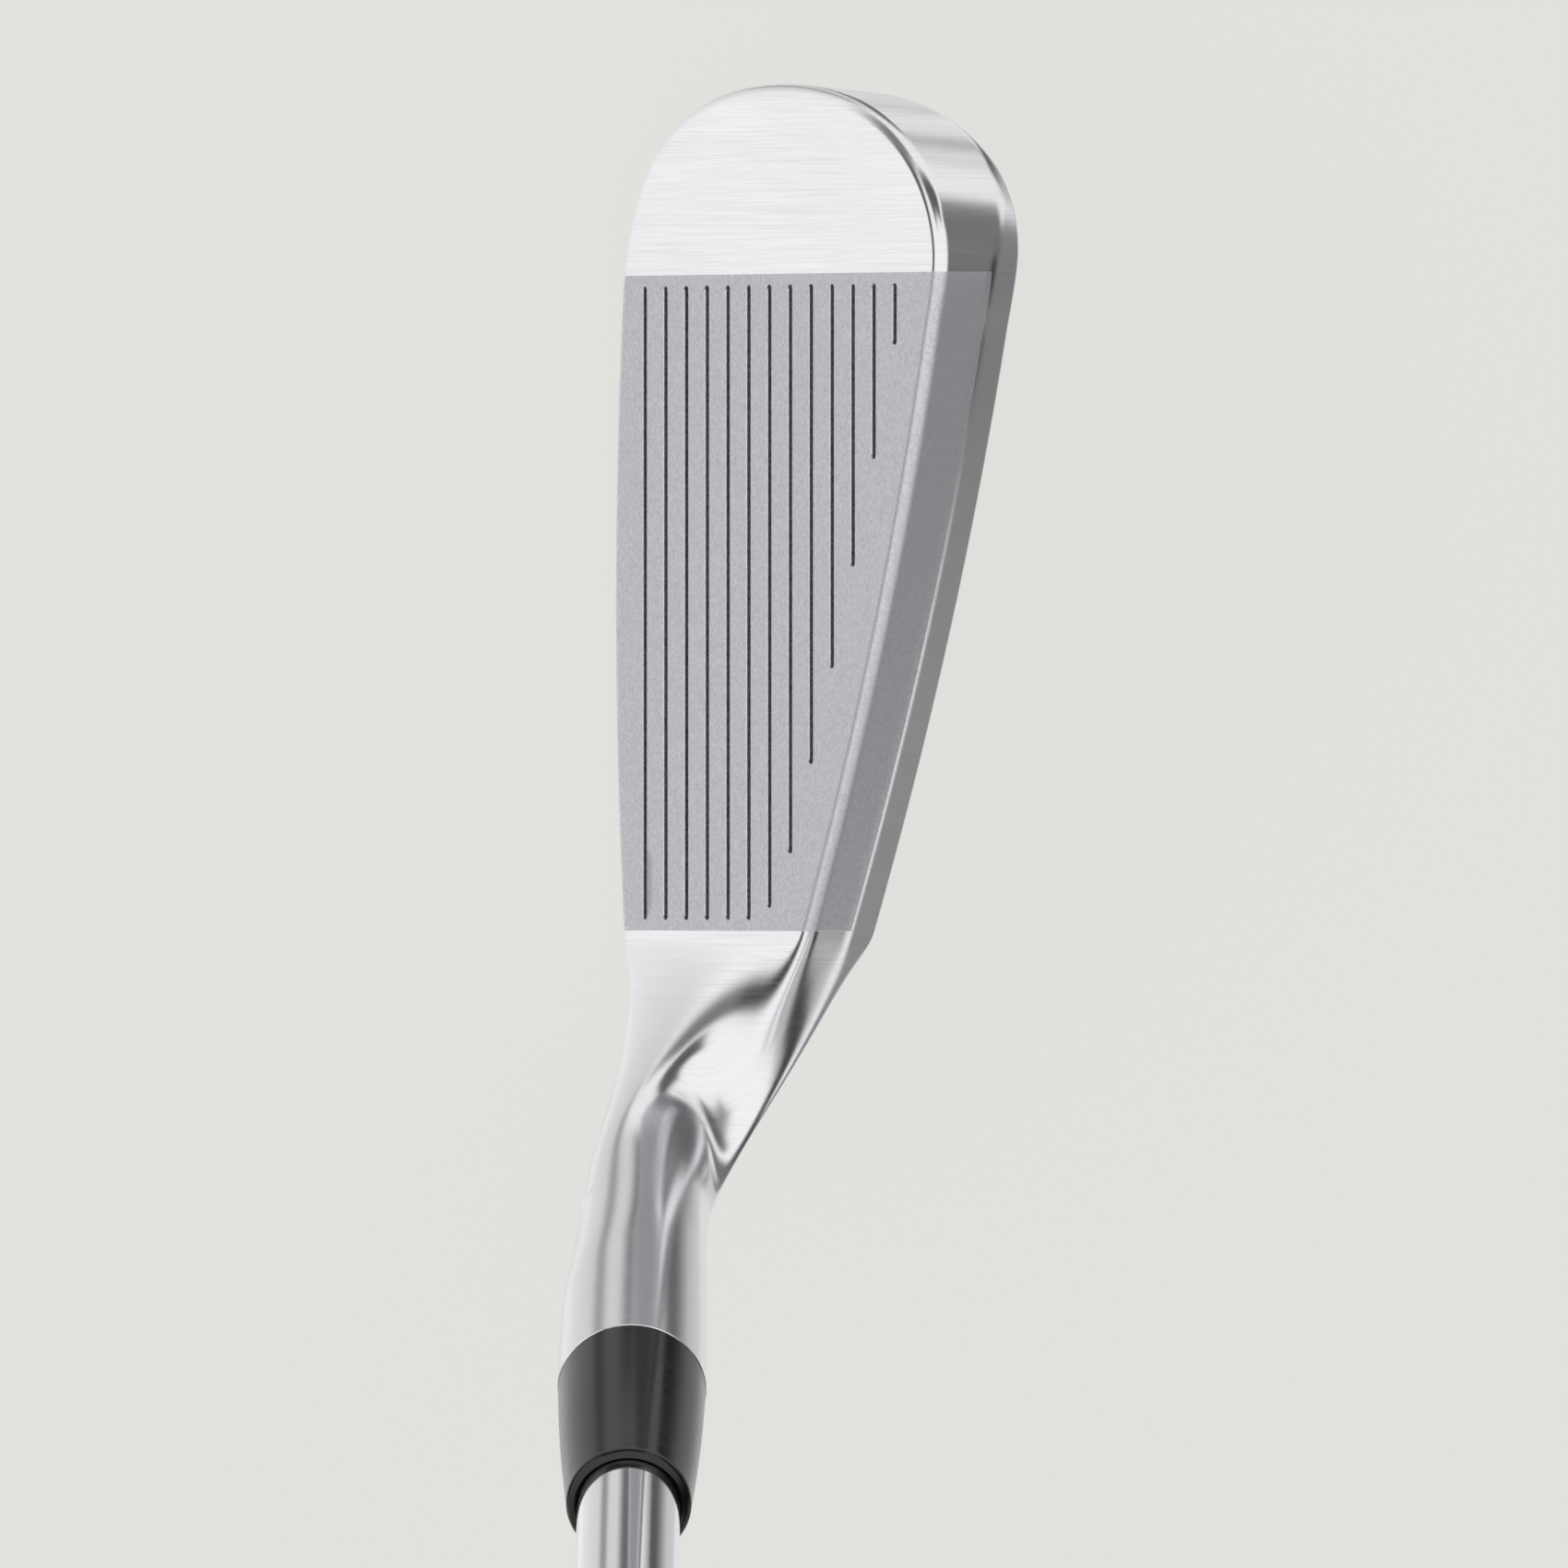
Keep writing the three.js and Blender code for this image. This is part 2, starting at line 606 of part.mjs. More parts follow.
function bandGeometry() {
  const inner = shaftRadius(BAND_START) + SLEEVE_GAP;
  return sleeve(inner, inner + BAND_THICKNESS, BAND_START, BAND_START + BAND_LENGTH);
}

// ---------------------------------------------------------------- the club
const chrome = material(0xc9ccd0, 1, 0.22);
const mirrorChrome = material(0xd4d6d8, 1, 0.08);
const tungsten = material(0x8c8e92, 1, 0.4);
const brass = material(0xb08d4a, 1, 0.35);
const blackPlastic = material(0x1c1d1f, 0, 0.3);
const epoxy = material(0xb9a878, 0, 0.5);
const elastomer = material(0x2a2b2d, 0, 0.8);
const aluminium = material(0xa4a7ab, 1, 0.35);
const label = material(0x3a3c40, 0, 0.45);
const tape = material(0xe2dcc8, 0, 0.8);
const rubber = material(0x18191a, 0, 0.85);

const club = new THREE.Group();

const head = new THREE.Group();
const padStart = FACE_THICKNESS + GAP;
const badgeStart = padStart + PAD_THICKNESS + GAP;
head.add(part("head_body", headGeometry(), chrome));
head.add(part("badge_damper", cavityLayer(1.2, padStart, padStart + PAD_THICKNESS), elastomer));
head.add(part("cavity_badge", cavityLayer(0.5, badgeStart, badgeStart + BADGE_THICKNESS), aluminium));
head.add(part("toe_weight_screw", weightScrewGeometry(), tungsten));

// Everything here is made standing on the ground and then leant over by the lie.
const stick = new THREE.Group();
const bond = sleeve(TIP_RADIUS + SLEEVE_GAP, BORE_RADIUS - SLEEVE_GAP, SHAFT_START, HOSEL_TOP - 0.5);
const gripTape = sleeve(tapeInner, tapeInner + TAPE_THICKNESS, gripStart + 2, gripEnd - 2);
stick.add(part("tip_weight", tipWeightGeometry(), brass));
stick.add(part("hosel_epoxy", bond, epoxy));
stick.add(part("ferrule", ferruleGeometry(), blackPlastic));
stick.add(part("shaft", shaftGeometry(), mirrorChrome));
stick.add(part("shaft_band", bandGeometry(), label));
stick.add(part("grip_tape", gripTape, tape));
stick.add(part("grip", gripGeometry(), rubber));
stick.add(part("grip_cap", gripCapGeometry(), rubber));
stick.quaternion.setFromUnitVectors(new THREE.Vector3(0, 0, 1), AXIS);
stick.position.copy(AXIS_GROUND);

club.add(head, stick);
export default club;
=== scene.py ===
# Iron golf club, soled at address. Lengths in the dimensions below are millimetres in the row
# frame: +X from toe to heel, +Y away from the target, +Z up, origin where the sole meets the ground.
import math
import bpy
import bmesh
from mathutils import Matrix, Vector


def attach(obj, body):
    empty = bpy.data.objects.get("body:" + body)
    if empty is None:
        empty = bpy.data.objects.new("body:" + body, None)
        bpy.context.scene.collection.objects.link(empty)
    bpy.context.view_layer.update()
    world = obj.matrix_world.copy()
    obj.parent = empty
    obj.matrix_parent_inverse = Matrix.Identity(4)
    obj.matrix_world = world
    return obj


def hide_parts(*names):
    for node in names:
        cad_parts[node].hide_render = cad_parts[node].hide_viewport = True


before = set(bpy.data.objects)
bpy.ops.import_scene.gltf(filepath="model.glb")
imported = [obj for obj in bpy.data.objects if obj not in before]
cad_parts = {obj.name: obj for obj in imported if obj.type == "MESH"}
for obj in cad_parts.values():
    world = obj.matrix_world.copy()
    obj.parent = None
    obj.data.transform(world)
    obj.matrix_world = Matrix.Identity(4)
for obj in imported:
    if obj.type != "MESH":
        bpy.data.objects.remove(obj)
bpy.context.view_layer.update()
MM = 0.001

# ---------------------------------------------------------------- driving dimensions
LOFT = math.radians(30.5)
LIE = math.radians(62.5)
LEAN = math.radians(1.3)
CLUB_LENGTH = 940

CORNER_Y = -9.1
SOLE_RADIUS = 44
CORNER_Z = CORNER_Y ** 2 / (2 * SOLE_RADIUS)
TOE_X, TOE_UP = -45.6, 28.6
CROWN_X, CROWN_UP = -31, 56.9
TOPLINE_X = -22.5
BLADE_END_X = 29.5
TOPLINE_MIDDLE_X, TOPLINE_UP, TOPLINE_SLOPE, TOPLINE_BOW = 3.5, 46.25, 0.402, 0.00237
SCORING_HALF, SOLE_BOW, SOLE_END_X = 28.8, 1.42, -26
SOLE_WIDTH = 20.4
LEADING_RADIUS, EDGE_RADIUS, RIDGE_RADIUS = 1.8, 1.05, 4.0
TRAILING_RADIUS, CREST_RADIUS = 2.4, 1.2
TOPLINE_DEPTH, TOPLINE_TAPER = 4.9, 0.02
BEVEL_DEEP, BEVEL_DROP = 3.3, 1.0
BEVEL_END_X, TOE_CORNER_X = -27, -40.4
TOE_WALL_DEEP, TOE_WALL_DRAFT = 8.5, 0.8
RIM_WIDTH = 5
CREST_HEIGHT = 11.4

GROOVE_PITCH, GROOVE_WIDTH, GROOVE_DEPTH = 3.6, 0.66, 0.45
GROOVE_COUNT, FULL_GROOVES, GROOVE_FIRST_UP, GROOVE_HALF = 13, 6, 6.2, 27.85
GROOVE_RUN, GROOVE_CURVE, GROOVE_SHORT_END = 7.6, 0.26, 22

FACE_THICKNESS, CAVITY_FLOOR_UP = 2.6, 17
GAP = 0.3  # round the weight screw
SCREW_RADIUS, SCREW_LENGTH, SCREW_X, SCREW_Z = 3.2, 8, -25, 7.1

AXIS_GROUND = Vector((37.5, -6.25, 0))
HOSEL_RADIUS, HOSEL_WAIST_RADIUS = 6.5, 6.15
HOSEL_TOP = 67.8
BORE_RADIUS, BORE_BOTTOM = 5.05, 36
TIP_RADIUS, BUTT_RADIUS = 4.5, 7.62
TIP_WALL, BUTT_WALL = 1.3, 0.6
SHAFT_START, FIRST_STEP, STEP_SPACING, STEP_COUNT = 39, 280, 32, 13
FERRULE_LENGTH, FERRULE_END_RADIUS, FERRULE_SWELL = 21.6, 5.48, 0.16
GRIP_LENGTH, GRIP_MOUTH_RADIUS, GRIP_BUTT_RADIUS, GRIP_TAPER_POWER = 267, 8.9, 13.1, 1.15
CAP_THICKNESS, VENT_RADIUS = 5, 1.2
SLEEVE_GAP, TAPE_THICKNESS = 0.1, 0.25
BAND_START, BAND_LENGTH, BAND_THICKNESS = 636, 22, 0.15

AXIS = Vector((math.cos(LIE) * math.cos(LEAN), -math.cos(LIE) * math.sin(LEAN), math.sin(LIE)))


def mix(a, b, t):
    return a + (b - a) * t


def smooth(t):
    t = min(1, max(0, t))
    return t * t * (3 - 2 * t)


# ---------------------------------------------------------------- work bench
def deselect():
    if bpy.context.mode != "OBJECT":
        bpy.ops.object.mode_set(mode="OBJECT")
    bpy.ops.object.select_all(action="DESELECT")


def take(piece):
    """Makes a piece the only selected and the active one."""
    deselect()
    piece.select_set(True)
    bpy.context.view_layer.objects.active = piece


def from_mesh(name, points, faces):
    mesh = bpy.data.meshes.new(name)
    mesh.from_pydata([tuple(p) for p in points], [], faces)
    piece = bpy.data.objects.new(name, mesh)
    bpy.context.scene.collection.objects.link(piece)
    return piece


def tidy_normals(piece, merge=0.0005):
    """Merges doubles and turns every face outwards."""
    take(piece)
    bpy.ops.object.mode_set(mode="EDIT")
    bpy.ops.mesh.select_all(action="SELECT")
    bpy.ops.mesh.remove_doubles(threshold=merge)
    bpy.ops.mesh.dissolve_degenerate(threshold=merge / 5)
    bpy.ops.mesh.select_all(action="SELECT")
    bpy.ops.mesh.normals_make_consistent(inside=False)
    bpy.ops.object.mode_set(mode="OBJECT")


def apply_modifier(piece, kind, **settings):
    take(piece)
    modifier = piece.modifiers.new(kind.lower(), kind)
    for key, value in settings.items():
        setattr(modifier, key, value)
    bpy.ops.object.modifier_apply(modifier=modifier.name)


def smooth_shade(piece, angle=30):
    take(piece)
    bpy.ops.object.shade_smooth_by_angle(angle=math.radians(angle))


def settle(piece, matrix=None):
    """Turns millimetres on the bench into metres in the row frame, held in the mesh."""
    place = Matrix.Scale(MM, 4)
    if matrix is not None:
        place = place @ matrix
    piece.data.transform(place)
    piece.data.update()
    return piece


def finish_piece(piece, node, material):
    """Gives a piece its material and its place in the assembly."""
    while len(piece.data.materials) > 1:
        piece.data.materials.pop()
    if piece.data.materials:
        piece.data.materials[0] = material
    else:
        piece.data.materials.append(material)
    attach(piece, "root")
    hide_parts(node)
    return piece


# ---------------------------------------------------------------- blade outline and edges
def face_point(x, up, deep):
    return Vector((
        x,
        CORNER_Y + up * math.sin(LOFT) + deep * math.cos(LOFT),
        CORNER_Z + up * math.cos(LOFT) - deep * math.sin(LOFT),
    ))


FACE_MATRIX = Matrix((
    (1, 0, 0, 0),
    (0, math.sin(LOFT), math.cos(LOFT), CORNER_Y),
    (0, math.cos(LOFT), -math.sin(LOFT), CORNER_Z),
    (0, 0, 0, 1),
))

FACE_INVERSE = FACE_MATRIX.inverted()


def from_ground(back, height):
    """A point of the sole's section, as distances up the face and deep behind it."""
    rise = height - CORNER_Z
    return Vector((
        back * math.sin(LOFT) + rise * math.cos(LOFT),
        back * math.cos(LOFT) - rise * math.sin(LOFT),
    ))


def bezier(p, t):
    s = 1 - t
    weights = (s ** 3, 3 * s * s * t, 3 * s * t * t, t ** 3)
    return Vector((sum(w * q[0] for w, q in zip(weights, p)), sum(w * q[1] for w, q in zip(weights, p))))


def topline_at(x):
    along = x - TOPLINE_MIDDLE_X
    return TOPLINE_UP - TOPLINE_SLOPE * along - TOPLINE_BOW * along * along


def sole_at(x):
    return SOLE_BOW * (x / SCORING_HALF) ** 2


TOE_TOP = ((TOE_X, TOE_UP), (TOE_X, 46), (-38.8, 56), (CROWN_X, CROWN_UP))
CROWN = (
    (CROWN_X, CROWN_UP),
    (CROWN_X + 2.6, CROWN_UP + 0.3),
    (TOPLINE_X - 3, topline_at(TOPLINE_X - 3)),
    (TOPLINE_X, topline_at(TOPLINE_X)),
)
TOE_SOLE = ((TOE_X, TOE_UP), (TOE_X, 8), (-37.5, 2.1), (SOLE_END_X, sole_at(SOLE_END_X)))
TOE_STEPS, CROWN_STEPS, BLADE_STEPS = 60, 12, 40


def outline_pairs():
    """Matching points of the upper and lower outline, from the toe tip to the end of the blade."""
    pairs = []
    steps = TOE_STEPS + CROWN_STEPS
    for i in range(steps + 1):
        if i <= TOE_STEPS:
            upper = bezier(TOE_TOP, i / TOE_STEPS)
        else:
            upper = bezier(CROWN, (i - TOE_STEPS) / CROWN_STEPS)
        pairs.append((upper, bezier(TOE_SOLE, i / steps)))
    for i in range(1, BLADE_STEPS + 1):
        t = i / BLADE_STEPS
        top, bottom = mix(TOPLINE_X, BLADE_END_X, t), mix(SOLE_END_X, BLADE_END_X, t)
        pairs.append((Vector((top, topline_at(top))), Vector((bottom, sole_at(bottom)))))
    return pairs


def fillet(before, corner, after, radius, steps):
    """Points of an arc that rounds a corner."""
    a, b = (before - corner).normalized(), (after - corner).normalized()
    half = math.acos(max(-1, min(1, a.dot(b)))) / 2
    tangent = radius / math.tan(half) if half < math.pi / 2 - 1e-4 else 0
    tangent = min(tangent, 0.48 * min((before - corner).length, (after - corner).length))
    radius = tangent * math.tan(half)
    centre = corner + (a + b).normalized() * (tangent / math.cos(half)) if radius > 1e-6 else corner
    start, end = corner + a * tangent, corner + b * tangent
    if radius <= 1e-6:
        return [mix(corner - (after - before).normalized() * 0.05, corner, i / steps) for i in range(steps + 1)]
    sweep = math.pi - 2 * half
    u, points = start - centre, []
    side = 1 if u.x * (end - centre).y - u.y * (end - centre).x > 0 else -1
    for i in range(steps + 1):
        turn = side * sweep * i / steps
        c, s = math.cos(turn), math.sin(turn)
        points.append(centre + Vector((u.x * c - u.y * s, u.x * s + u.y * c)))
    return points


SUPPORT = 0.12  # rows this close to a rounded edge keep the flats flat in the light


def run(a, b):
    """Three points between two, the outer ones close to the ends."""
    direction = (b - a).normalized()
    edge = min(SUPPORT, (b - a).length / 4)
    return [a + direction * edge, (a + b) / 2, b - direction * edge]


def join(*parts):
    """Arcs and points strung together with straight runs between the arcs."""
    line = list(parts[0])
    for nxt in parts[1:]:
        line += run(line[-1], nxt[0])
        line += nxt
    return line


def topline_edge(x):
    """Section of the topline or toe wall: [inset from the outline, depth behind the face]."""
    toeward = smooth((BEVEL_END_X - x) / (BEVEL_END_X - TOE_CORNER_X))
    flat = mix(TOPLINE_DEPTH - TOPLINE_TAPER * x, TOE_WALL_DEEP, toeward)
    bevel, drop = mix(BEVEL_DEEP, 0.9, toeward), mix(BEVEL_DROP, 0.55, toeward)
    draft = TOE_WALL_DRAFT * toeward
    on_face, corner = Vector((6, 0)), Vector((0, 0))
    ridge, back = Vector((draft, flat)), Vector((draft + drop, flat + bevel))
    rim = Vector((draft + drop + RIM_WIDTH - 2, flat + bevel + 0.08))
    end = Vector((draft + drop + RIM_WIDTH - 0.8, flat + bevel + 0.1))
    return join(
        fillet(on_face, corner, ridge, EDGE_RADIUS, 10),
        fillet(corner, ridge, back, RIDGE_RADIUS, 5),
        fillet(ridge, back, rim, 0.5, 5),
        [mix(rim, end, i / 4) for i in range(5)],
    ) + [end + (end - rim) * 0.2]


def sole_edge():
    """Section of the sole in the same terms, with the same number of points."""
    def camber(back):
        return from_ground(back, (CORNER_Y + back) ** 2 / (2 * SOLE_RADIUS) - 0.03)
    leading = fillet(Vector((6, 0)), Vector((0, 0)), camber(3), LEADING_RADIUS, 10)
    reach = SOLE_WIDTH - TRAILING_RADIUS
    arc = [camber(mix(2.9, reach - 0.2, i / 11)) for i in range(12)]
    base = (CORNER_Y + SOLE_WIDTH) ** 2 / (2 * SOLE_RADIUS)
    trail = fillet(camber(reach - 3), from_ground(SOLE_WIDTH, base), from_ground(SOLE_WIDTH, base + 5),
                   TRAILING_RADIUS, 5)
    crest = from_ground(SOLE_WIDTH - 0.1, CREST_HEIGHT)
    shelf = from_ground(SOLE_WIDTH - 3.0, CREST_HEIGHT + 0.5)
    top = fillet(trail[-1], crest, shelf, CREST_RADIUS, 4)
    return leading + arc + join(trail, top) + [shelf]


def edge_point(point, tangent, side, inset_deep):
    inward = Vector((tangent.y, -tangent.x)) * side
    return face_point(point.x + inward.x * inset_deep[0], point.y + inward.y * inset_deep[0], inset_deep[1])


FACE_POINTS, BACK_POINTS = 26, 10


def straight(a, b, count):
    """Points between two, with a support point next to each end."""
    inner = [a.lerp(b, i / (count - 1)) for i in range(1, count - 1)]
    length = (b - a).length
    edge = min(SUPPORT / max(length, 1e-6), 0.2 / count)
    return [a.lerp(b, edge)] + inner + [a.lerp(b, 1 - edge)]


def blade_rings():
    pairs = outline_pairs()
    sole = sole_edge()
    rings = []
    for index, (upper, lower) in enumerate(pairs):
        if index == 0:
            up_tangent, down_tangent = Vector((0, 1)), Vector((0, -1))
        else:
            after = pairs[min(index + 1, len(pairs) - 1)]
            up_tangent = (after[0] - pairs[index - 1][0]).normalized()
            down_tangent = (after[1] - pairs[index - 1][1]).normalized()
        turn = smooth(index / (TOE_STEPS + CROWN_STEPS))
        low = [mix(w, s, turn) for w, s in zip(topline_edge(lower.x), sole)]
        top = [edge_point(upper, up_tangent, 1, e) for e in topline_edge(upper.x)]
        bottom = [edge_point(lower, down_tangent, -1, e) for e in low]
        rings.append(
            [bottom[0]] + straight(bottom[0], top[0], FACE_POINTS) + top
            + straight(top[-1], bottom[-1], BACK_POINTS) + bottom[:0:-1]
        )
    return rings


# ---------------------------------------------------------------- neck and hosel
AXIS_FRONT = (Vector((0, -1, 0)) - AXIS * AXIS.dot(Vector((0, -1, 0)))).normalized()
AXIS_TOE = AXIS_FRONT.cross(AXIS).normalized()


def hosel_point(along, angle, radius):
    """Angle 0 is the front of the hosel, 90 degrees the side towards the toe."""
    return AXIS_GROUND + AXIS * along + (AXIS_FRONT * math.cos(angle) + AXIS_TOE * math.sin(angle)) * radius


def hosel_angles(count, edge):
    """Where each point of the blade's last ring arrives on the hosel."""
    face = FACE_POINTS + 1
    keys = [
        (0, -42), (face, 146), (face + 10, 162), (face + 16, 186),
        (face + edge - 1, 212), (face + edge + BACK_POINTS, 250), (count, 318),
    ]
    angles = []
    for i in range(count):
        k = next(n for n, key in enumerate(keys) if key[0] > i)
        (a, start), (b, end) = keys[k - 1], keys[k]
        angles.append(math.radians(mix(start, end, (i - a) / (b - a))))
    return angles


NECK_STEPS, HOSEL_STEPS = 44, 24
HOSEL_FRONT_START, CROTCH_DROP = 38, 14
CROTCH_ANGLE, CROTCH_FRONT_SPREAD, CROTCH_BACK_SPREAD = 120, 90, 110


def hosel_start(angle):
    """How far up the axis the hosel's round part starts: lower where the topline runs into it."""
    from_crotch = math.degrees(angle) - CROTCH_ANGLE
    spread = CROTCH_FRONT_SPREAD if from_crotch < 0 else CROTCH_BACK_SPREAD
    return HOSEL_FRONT_START - CROTCH_DROP * smooth(1 - abs(from_crotch) / spread)


def neck_rings(last, previous):
    edge = len(topline_edge(0))
    angles = hosel_angles(len(last), edge)
    lines = []
    for start, before, angle in zip(last, previous, angles):
        along = hosel_start(angle)
        end = hosel_point(along, angle, HOSEL_WAIST_RADIUS)
        reach = (end - start).length
        front = max(0, math.cos(angle))
        leave = (start - before).normalized() * reach * mix(1.0, 0.3, front)
        arrive = AXIS * reach * mix(1.0, 1.5, front)
        lines.append((start, end, leave, arrive, along, angle))
    rings = []
    for i in range(1, NECK_STEPS + 1):
        t = i / NECK_STEPS
        ring = []
        for start, end, leave, arrive, along, angle in lines:
            point = start.lerp(end, t * t * (3 - 2 * t))
            ring.append(point + leave * t * (1 - t) ** 2 + arrive * t * t * (t - 1))
        rings.append(ring)
    for i in range(1, HOSEL_STEPS + 1):
        t = i / HOSEL_STEPS
        ring = []
        for *_, along, angle in lines:
            radius = mix(HOSEL_WAIST_RADIUS, HOSEL_RADIUS, smooth(t))
            ring.append(hosel_point(mix(along, HOSEL_TOP - 0.06, t), angle, radius))
        rings.append(ring)
    for along, radius in ((HOSEL_TOP, HOSEL_RADIUS - 0.06), (HOSEL_TOP, BORE_RADIUS + 0.2),
                          (HOSEL_TOP - 0.2, BORE_RADIUS), (BORE_BOTTOM, BORE_RADIUS)):
        rings.append([hosel_point(along, angle, radius) for angle in angles])
    return rings


RELAX_PASSES = 120
EDGE_FIRST, EDGE_LAST = FACE_POINTS, FACE_POINTS + 14  # the line between face and topline stays crisper
EDGE_ACROSS = 0.12


def relax(points, count, first, last):
    """Runs the neck's lines together, as the polishing wheel does, fading out at both ends."""
    for _ in range(RELAX_PASSES):
        before = [p.copy() for p in points[(first - 1) * count:(last + 1) * count]]
        for r in range(first, last):
            share = smooth((r - first + 1) / 10) * smooth((last - r) / 14) * 0.5
            row = (r - first + 1) * count
            for i in range(count):
                here = before[row + i]
                around = (before[row + (i - 1) % count] + before[row + (i + 1) % count]) / 2
                along = (before[row - count + i] + before[row + count + i]) / 2
                across = 0.5
                if EDGE_FIRST <= i <= EDGE_LAST:
                    across = mix(EDGE_ACROSS, 0.5, smooth((r - first) / (0.5 * (last - first))))
                points[r * count + i] = here.lerp(along.lerp(around, across), share)


def head_blank():
    """The forging before any cut: rings round the blade, carried through the neck to the hosel."""
    blade = blade_rings()
    rings = blade + neck_rings(blade[-1], blade[-2])
    count = len(rings[0])
    points = [p for ring in rings for p in ring]
    faces = []
    for r in range(len(rings) - 1):
        for i in range(count):
            a, b = r * count + i, r * count + (i + 1) % count
            faces.append((a, a + count, b + count, b))
    last = (len(rings) - 1) * count
    points.append(hosel_point(BORE_BOTTOM - 1.2, 0, 0))
    faces += [(last + i, len(points) - 1, last + (i + 1) % count) for i in range(count)]
    first = len(blade)
    relax(points, count, first, first + NECK_STEPS + HOSEL_STEPS // 2)
    for point in points:
        point.z = max(point.z, 0)
    piece = from_mesh("head_body_forging", points, faces)
    tidy_normals(piece, 0.002)
    return piece


# ---------------------------------------------------------------- cuts in the head
def prism(name, outline, low, high):
    """A closed outline in face coordinates, raised between two depths."""
    count = len(outline)
    points = [face_point(x, up, low) for x, up in outline] + [face_point(x, up, high) for x, up in outline]
    faces = [tuple(range(count)), tuple(range(2 * count - 1, count - 1, -1))]
    faces += [(i, (i + 1) % count, count + (i + 1) % count, count + i) for i in range(count)]
    piece = from_mesh(name, points, faces)
    tidy_normals(piece, 1e-4)
    return piece


def groove_outline(index, width):
    up = GROOVE_FIRST_UP + GROOVE_PITCH * index
    short = index - FULL_GROOVES - 1
    follow = GROOVE_SHORT_END - GROOVE_RUN * short - GROOVE_CURVE * short * short
    end = GROOVE_HALF if index < FULL_GROOVES else min(GROOVE_HALF - 1.1, follow)
    r = width / 2
    outline = []
    for side, centre in ((0, end - GROOVE_WIDTH / 2), (1, -GROOVE_HALF + GROOVE_WIDTH / 2)):
        for i in range(9):
            turn = math.pi * (i / 8 - 0.5 + side)
            outline.append((centre + r * math.cos(turn), up + r * math.sin(turn)))
    return outline


def groove_cutter():
    """All scoring lines as one cutter: slightly narrower at the bottom, with a broken top edge."""
    points, faces = [], []
    for index in range(GROOVE_COUNT):
        levels = ((-0.5, 0.12), (0.0, 0.12), (0.07, 0.0), (GROOVE_DEPTH - 0.08, -0.12), (GROOVE_DEPTH, -0.3))
        rings = [[face_point(x, up, deep) for x, up in groove_outline(index, GROOVE_WIDTH + wide)]
                 for deep, wide in levels]
        count, base = len(rings[0]), len(points)
        points += [p for ring in rings for p in ring]
        faces.append(tuple(base + i for i in range(count)))
        faces.append(tuple(base + (len(rings) - 1) * count + i for i in range(count - 1, -1, -1)))
        for r in range(len(rings) - 1):
            for i in range(count):
                a, b = base + r * count + i, base + r * count + (i + 1) % count
                faces.append((a, b, b + count, a + count))
    piece = from_mesh("groove_cutter", points, faces)
    tidy_normals(piece, 1e-4)
    return piece


def cavity_outline(inset):
    low = CAVITY_FLOOR_UP + inset
    slope = math.hypot(1, TOPLINE_SLOPE)

    def high(x):
        return topline_at(x) - (RIM_WIDTH + 0.6 + inset) * slope

    heel, toe = 22 - inset, -37 + inset
    outline = [(toe + 12, low)]
    for i in range(9):
        a = math.pi / 2 * i / 8
        outline.append((heel - 4 + 4 * math.sin(a), low + 4 - 4 * math.cos(a)))
    outline += [(heel, high(heel) - 3)]
    for i in range(1, 7):
        t = i / 6
        a, b = Vector((heel, high(heel) - 3)), Vector((heel, high(heel)))
        c = Vector((heel - 3.5, high(heel - 3.5)))
        outline.append(tuple(a * (1 - t) ** 2 + b * 2 * t * (1 - t) + c * t * t))
    for i in range(1, 13):
        x = mix(heel - 3.5, -21 + inset / 2, i / 12)
        outline.append((x, high(x)))
    toe_bend, shoulder = -21 + inset / 2, high(-26)
    upper = ((toe_bend, high(toe_bend)), (-26, shoulder), (toe + 3.5, shoulder - 3), (toe + 0.8, low + 19))
    lower = ((toe + 0.8, low + 19), (toe - 0.8, low + 10), (toe + 3, low), (toe + 12, low))
    outline += [tuple(bezier(upper, i / 14)) for i in range(1, 15)]
    outline += [tuple(bezier(lower, i / 14)) for i in range(1, 14)]
    return outline


def cut(piece, cutter):
    apply_modifier(piece, "BOOLEAN", operation="DIFFERENCE", object=cutter, solver="EXACT")
    bpy.data.objects.remove(cutter, do_unlink=True)


def turned(name, profile, segments=96):
    """A turned piece: a circle drawn up and in or out, ring by ring. Radius 0 closes an end."""
    deselect()
    radius, height = profile[0]
    start = max(radius, 1e-4)
    bpy.ops.mesh.primitive_circle_add(vertices=segments, radius=start, location=(0, 0, height))
    piece = bpy.context.object
    piece.name = name
    bpy.ops.object.transform_apply(location=True, rotation=True, scale=True)
    bpy.ops.object.mode_set(mode="EDIT")
    bpy.ops.mesh.select_all(action="SELECT")
    for to_radius, to_height in profile[1:]:
        bpy.ops.mesh.extrude_region_move(TRANSFORM_OT_translate={"value": (0, 0, to_height - height)})
        size = max(to_radius, 1e-4) / start
        bpy.ops.transform.resize(value=(size, size, 1), center_override=(0, 0, to_height))
        start, height = max(to_radius, 1e-4), to_height
    bpy.ops.mesh.select_all(action="SELECT")
    bpy.ops.mesh.remove_doubles(threshold=0.002)
    bpy.ops.mesh.normals_make_consistent(inside=False)
    bpy.ops.object.mode_set(mode="OBJECT")
    return piece


SHAFT_MATRIX = Matrix.Translation(AXIS_GROUND) @ AXIS.to_track_quat("Z", "Y").to_matrix().to_4x4()
MUSCLE_MATRIX = Matrix.Translation((SCREW_X, CORNER_Y + SOLE_WIDTH, SCREW_Z))
MUSCLE_MATRIX = MUSCLE_MATRIX @ Matrix.Rotation(-math.pi / 2, 4, "X")


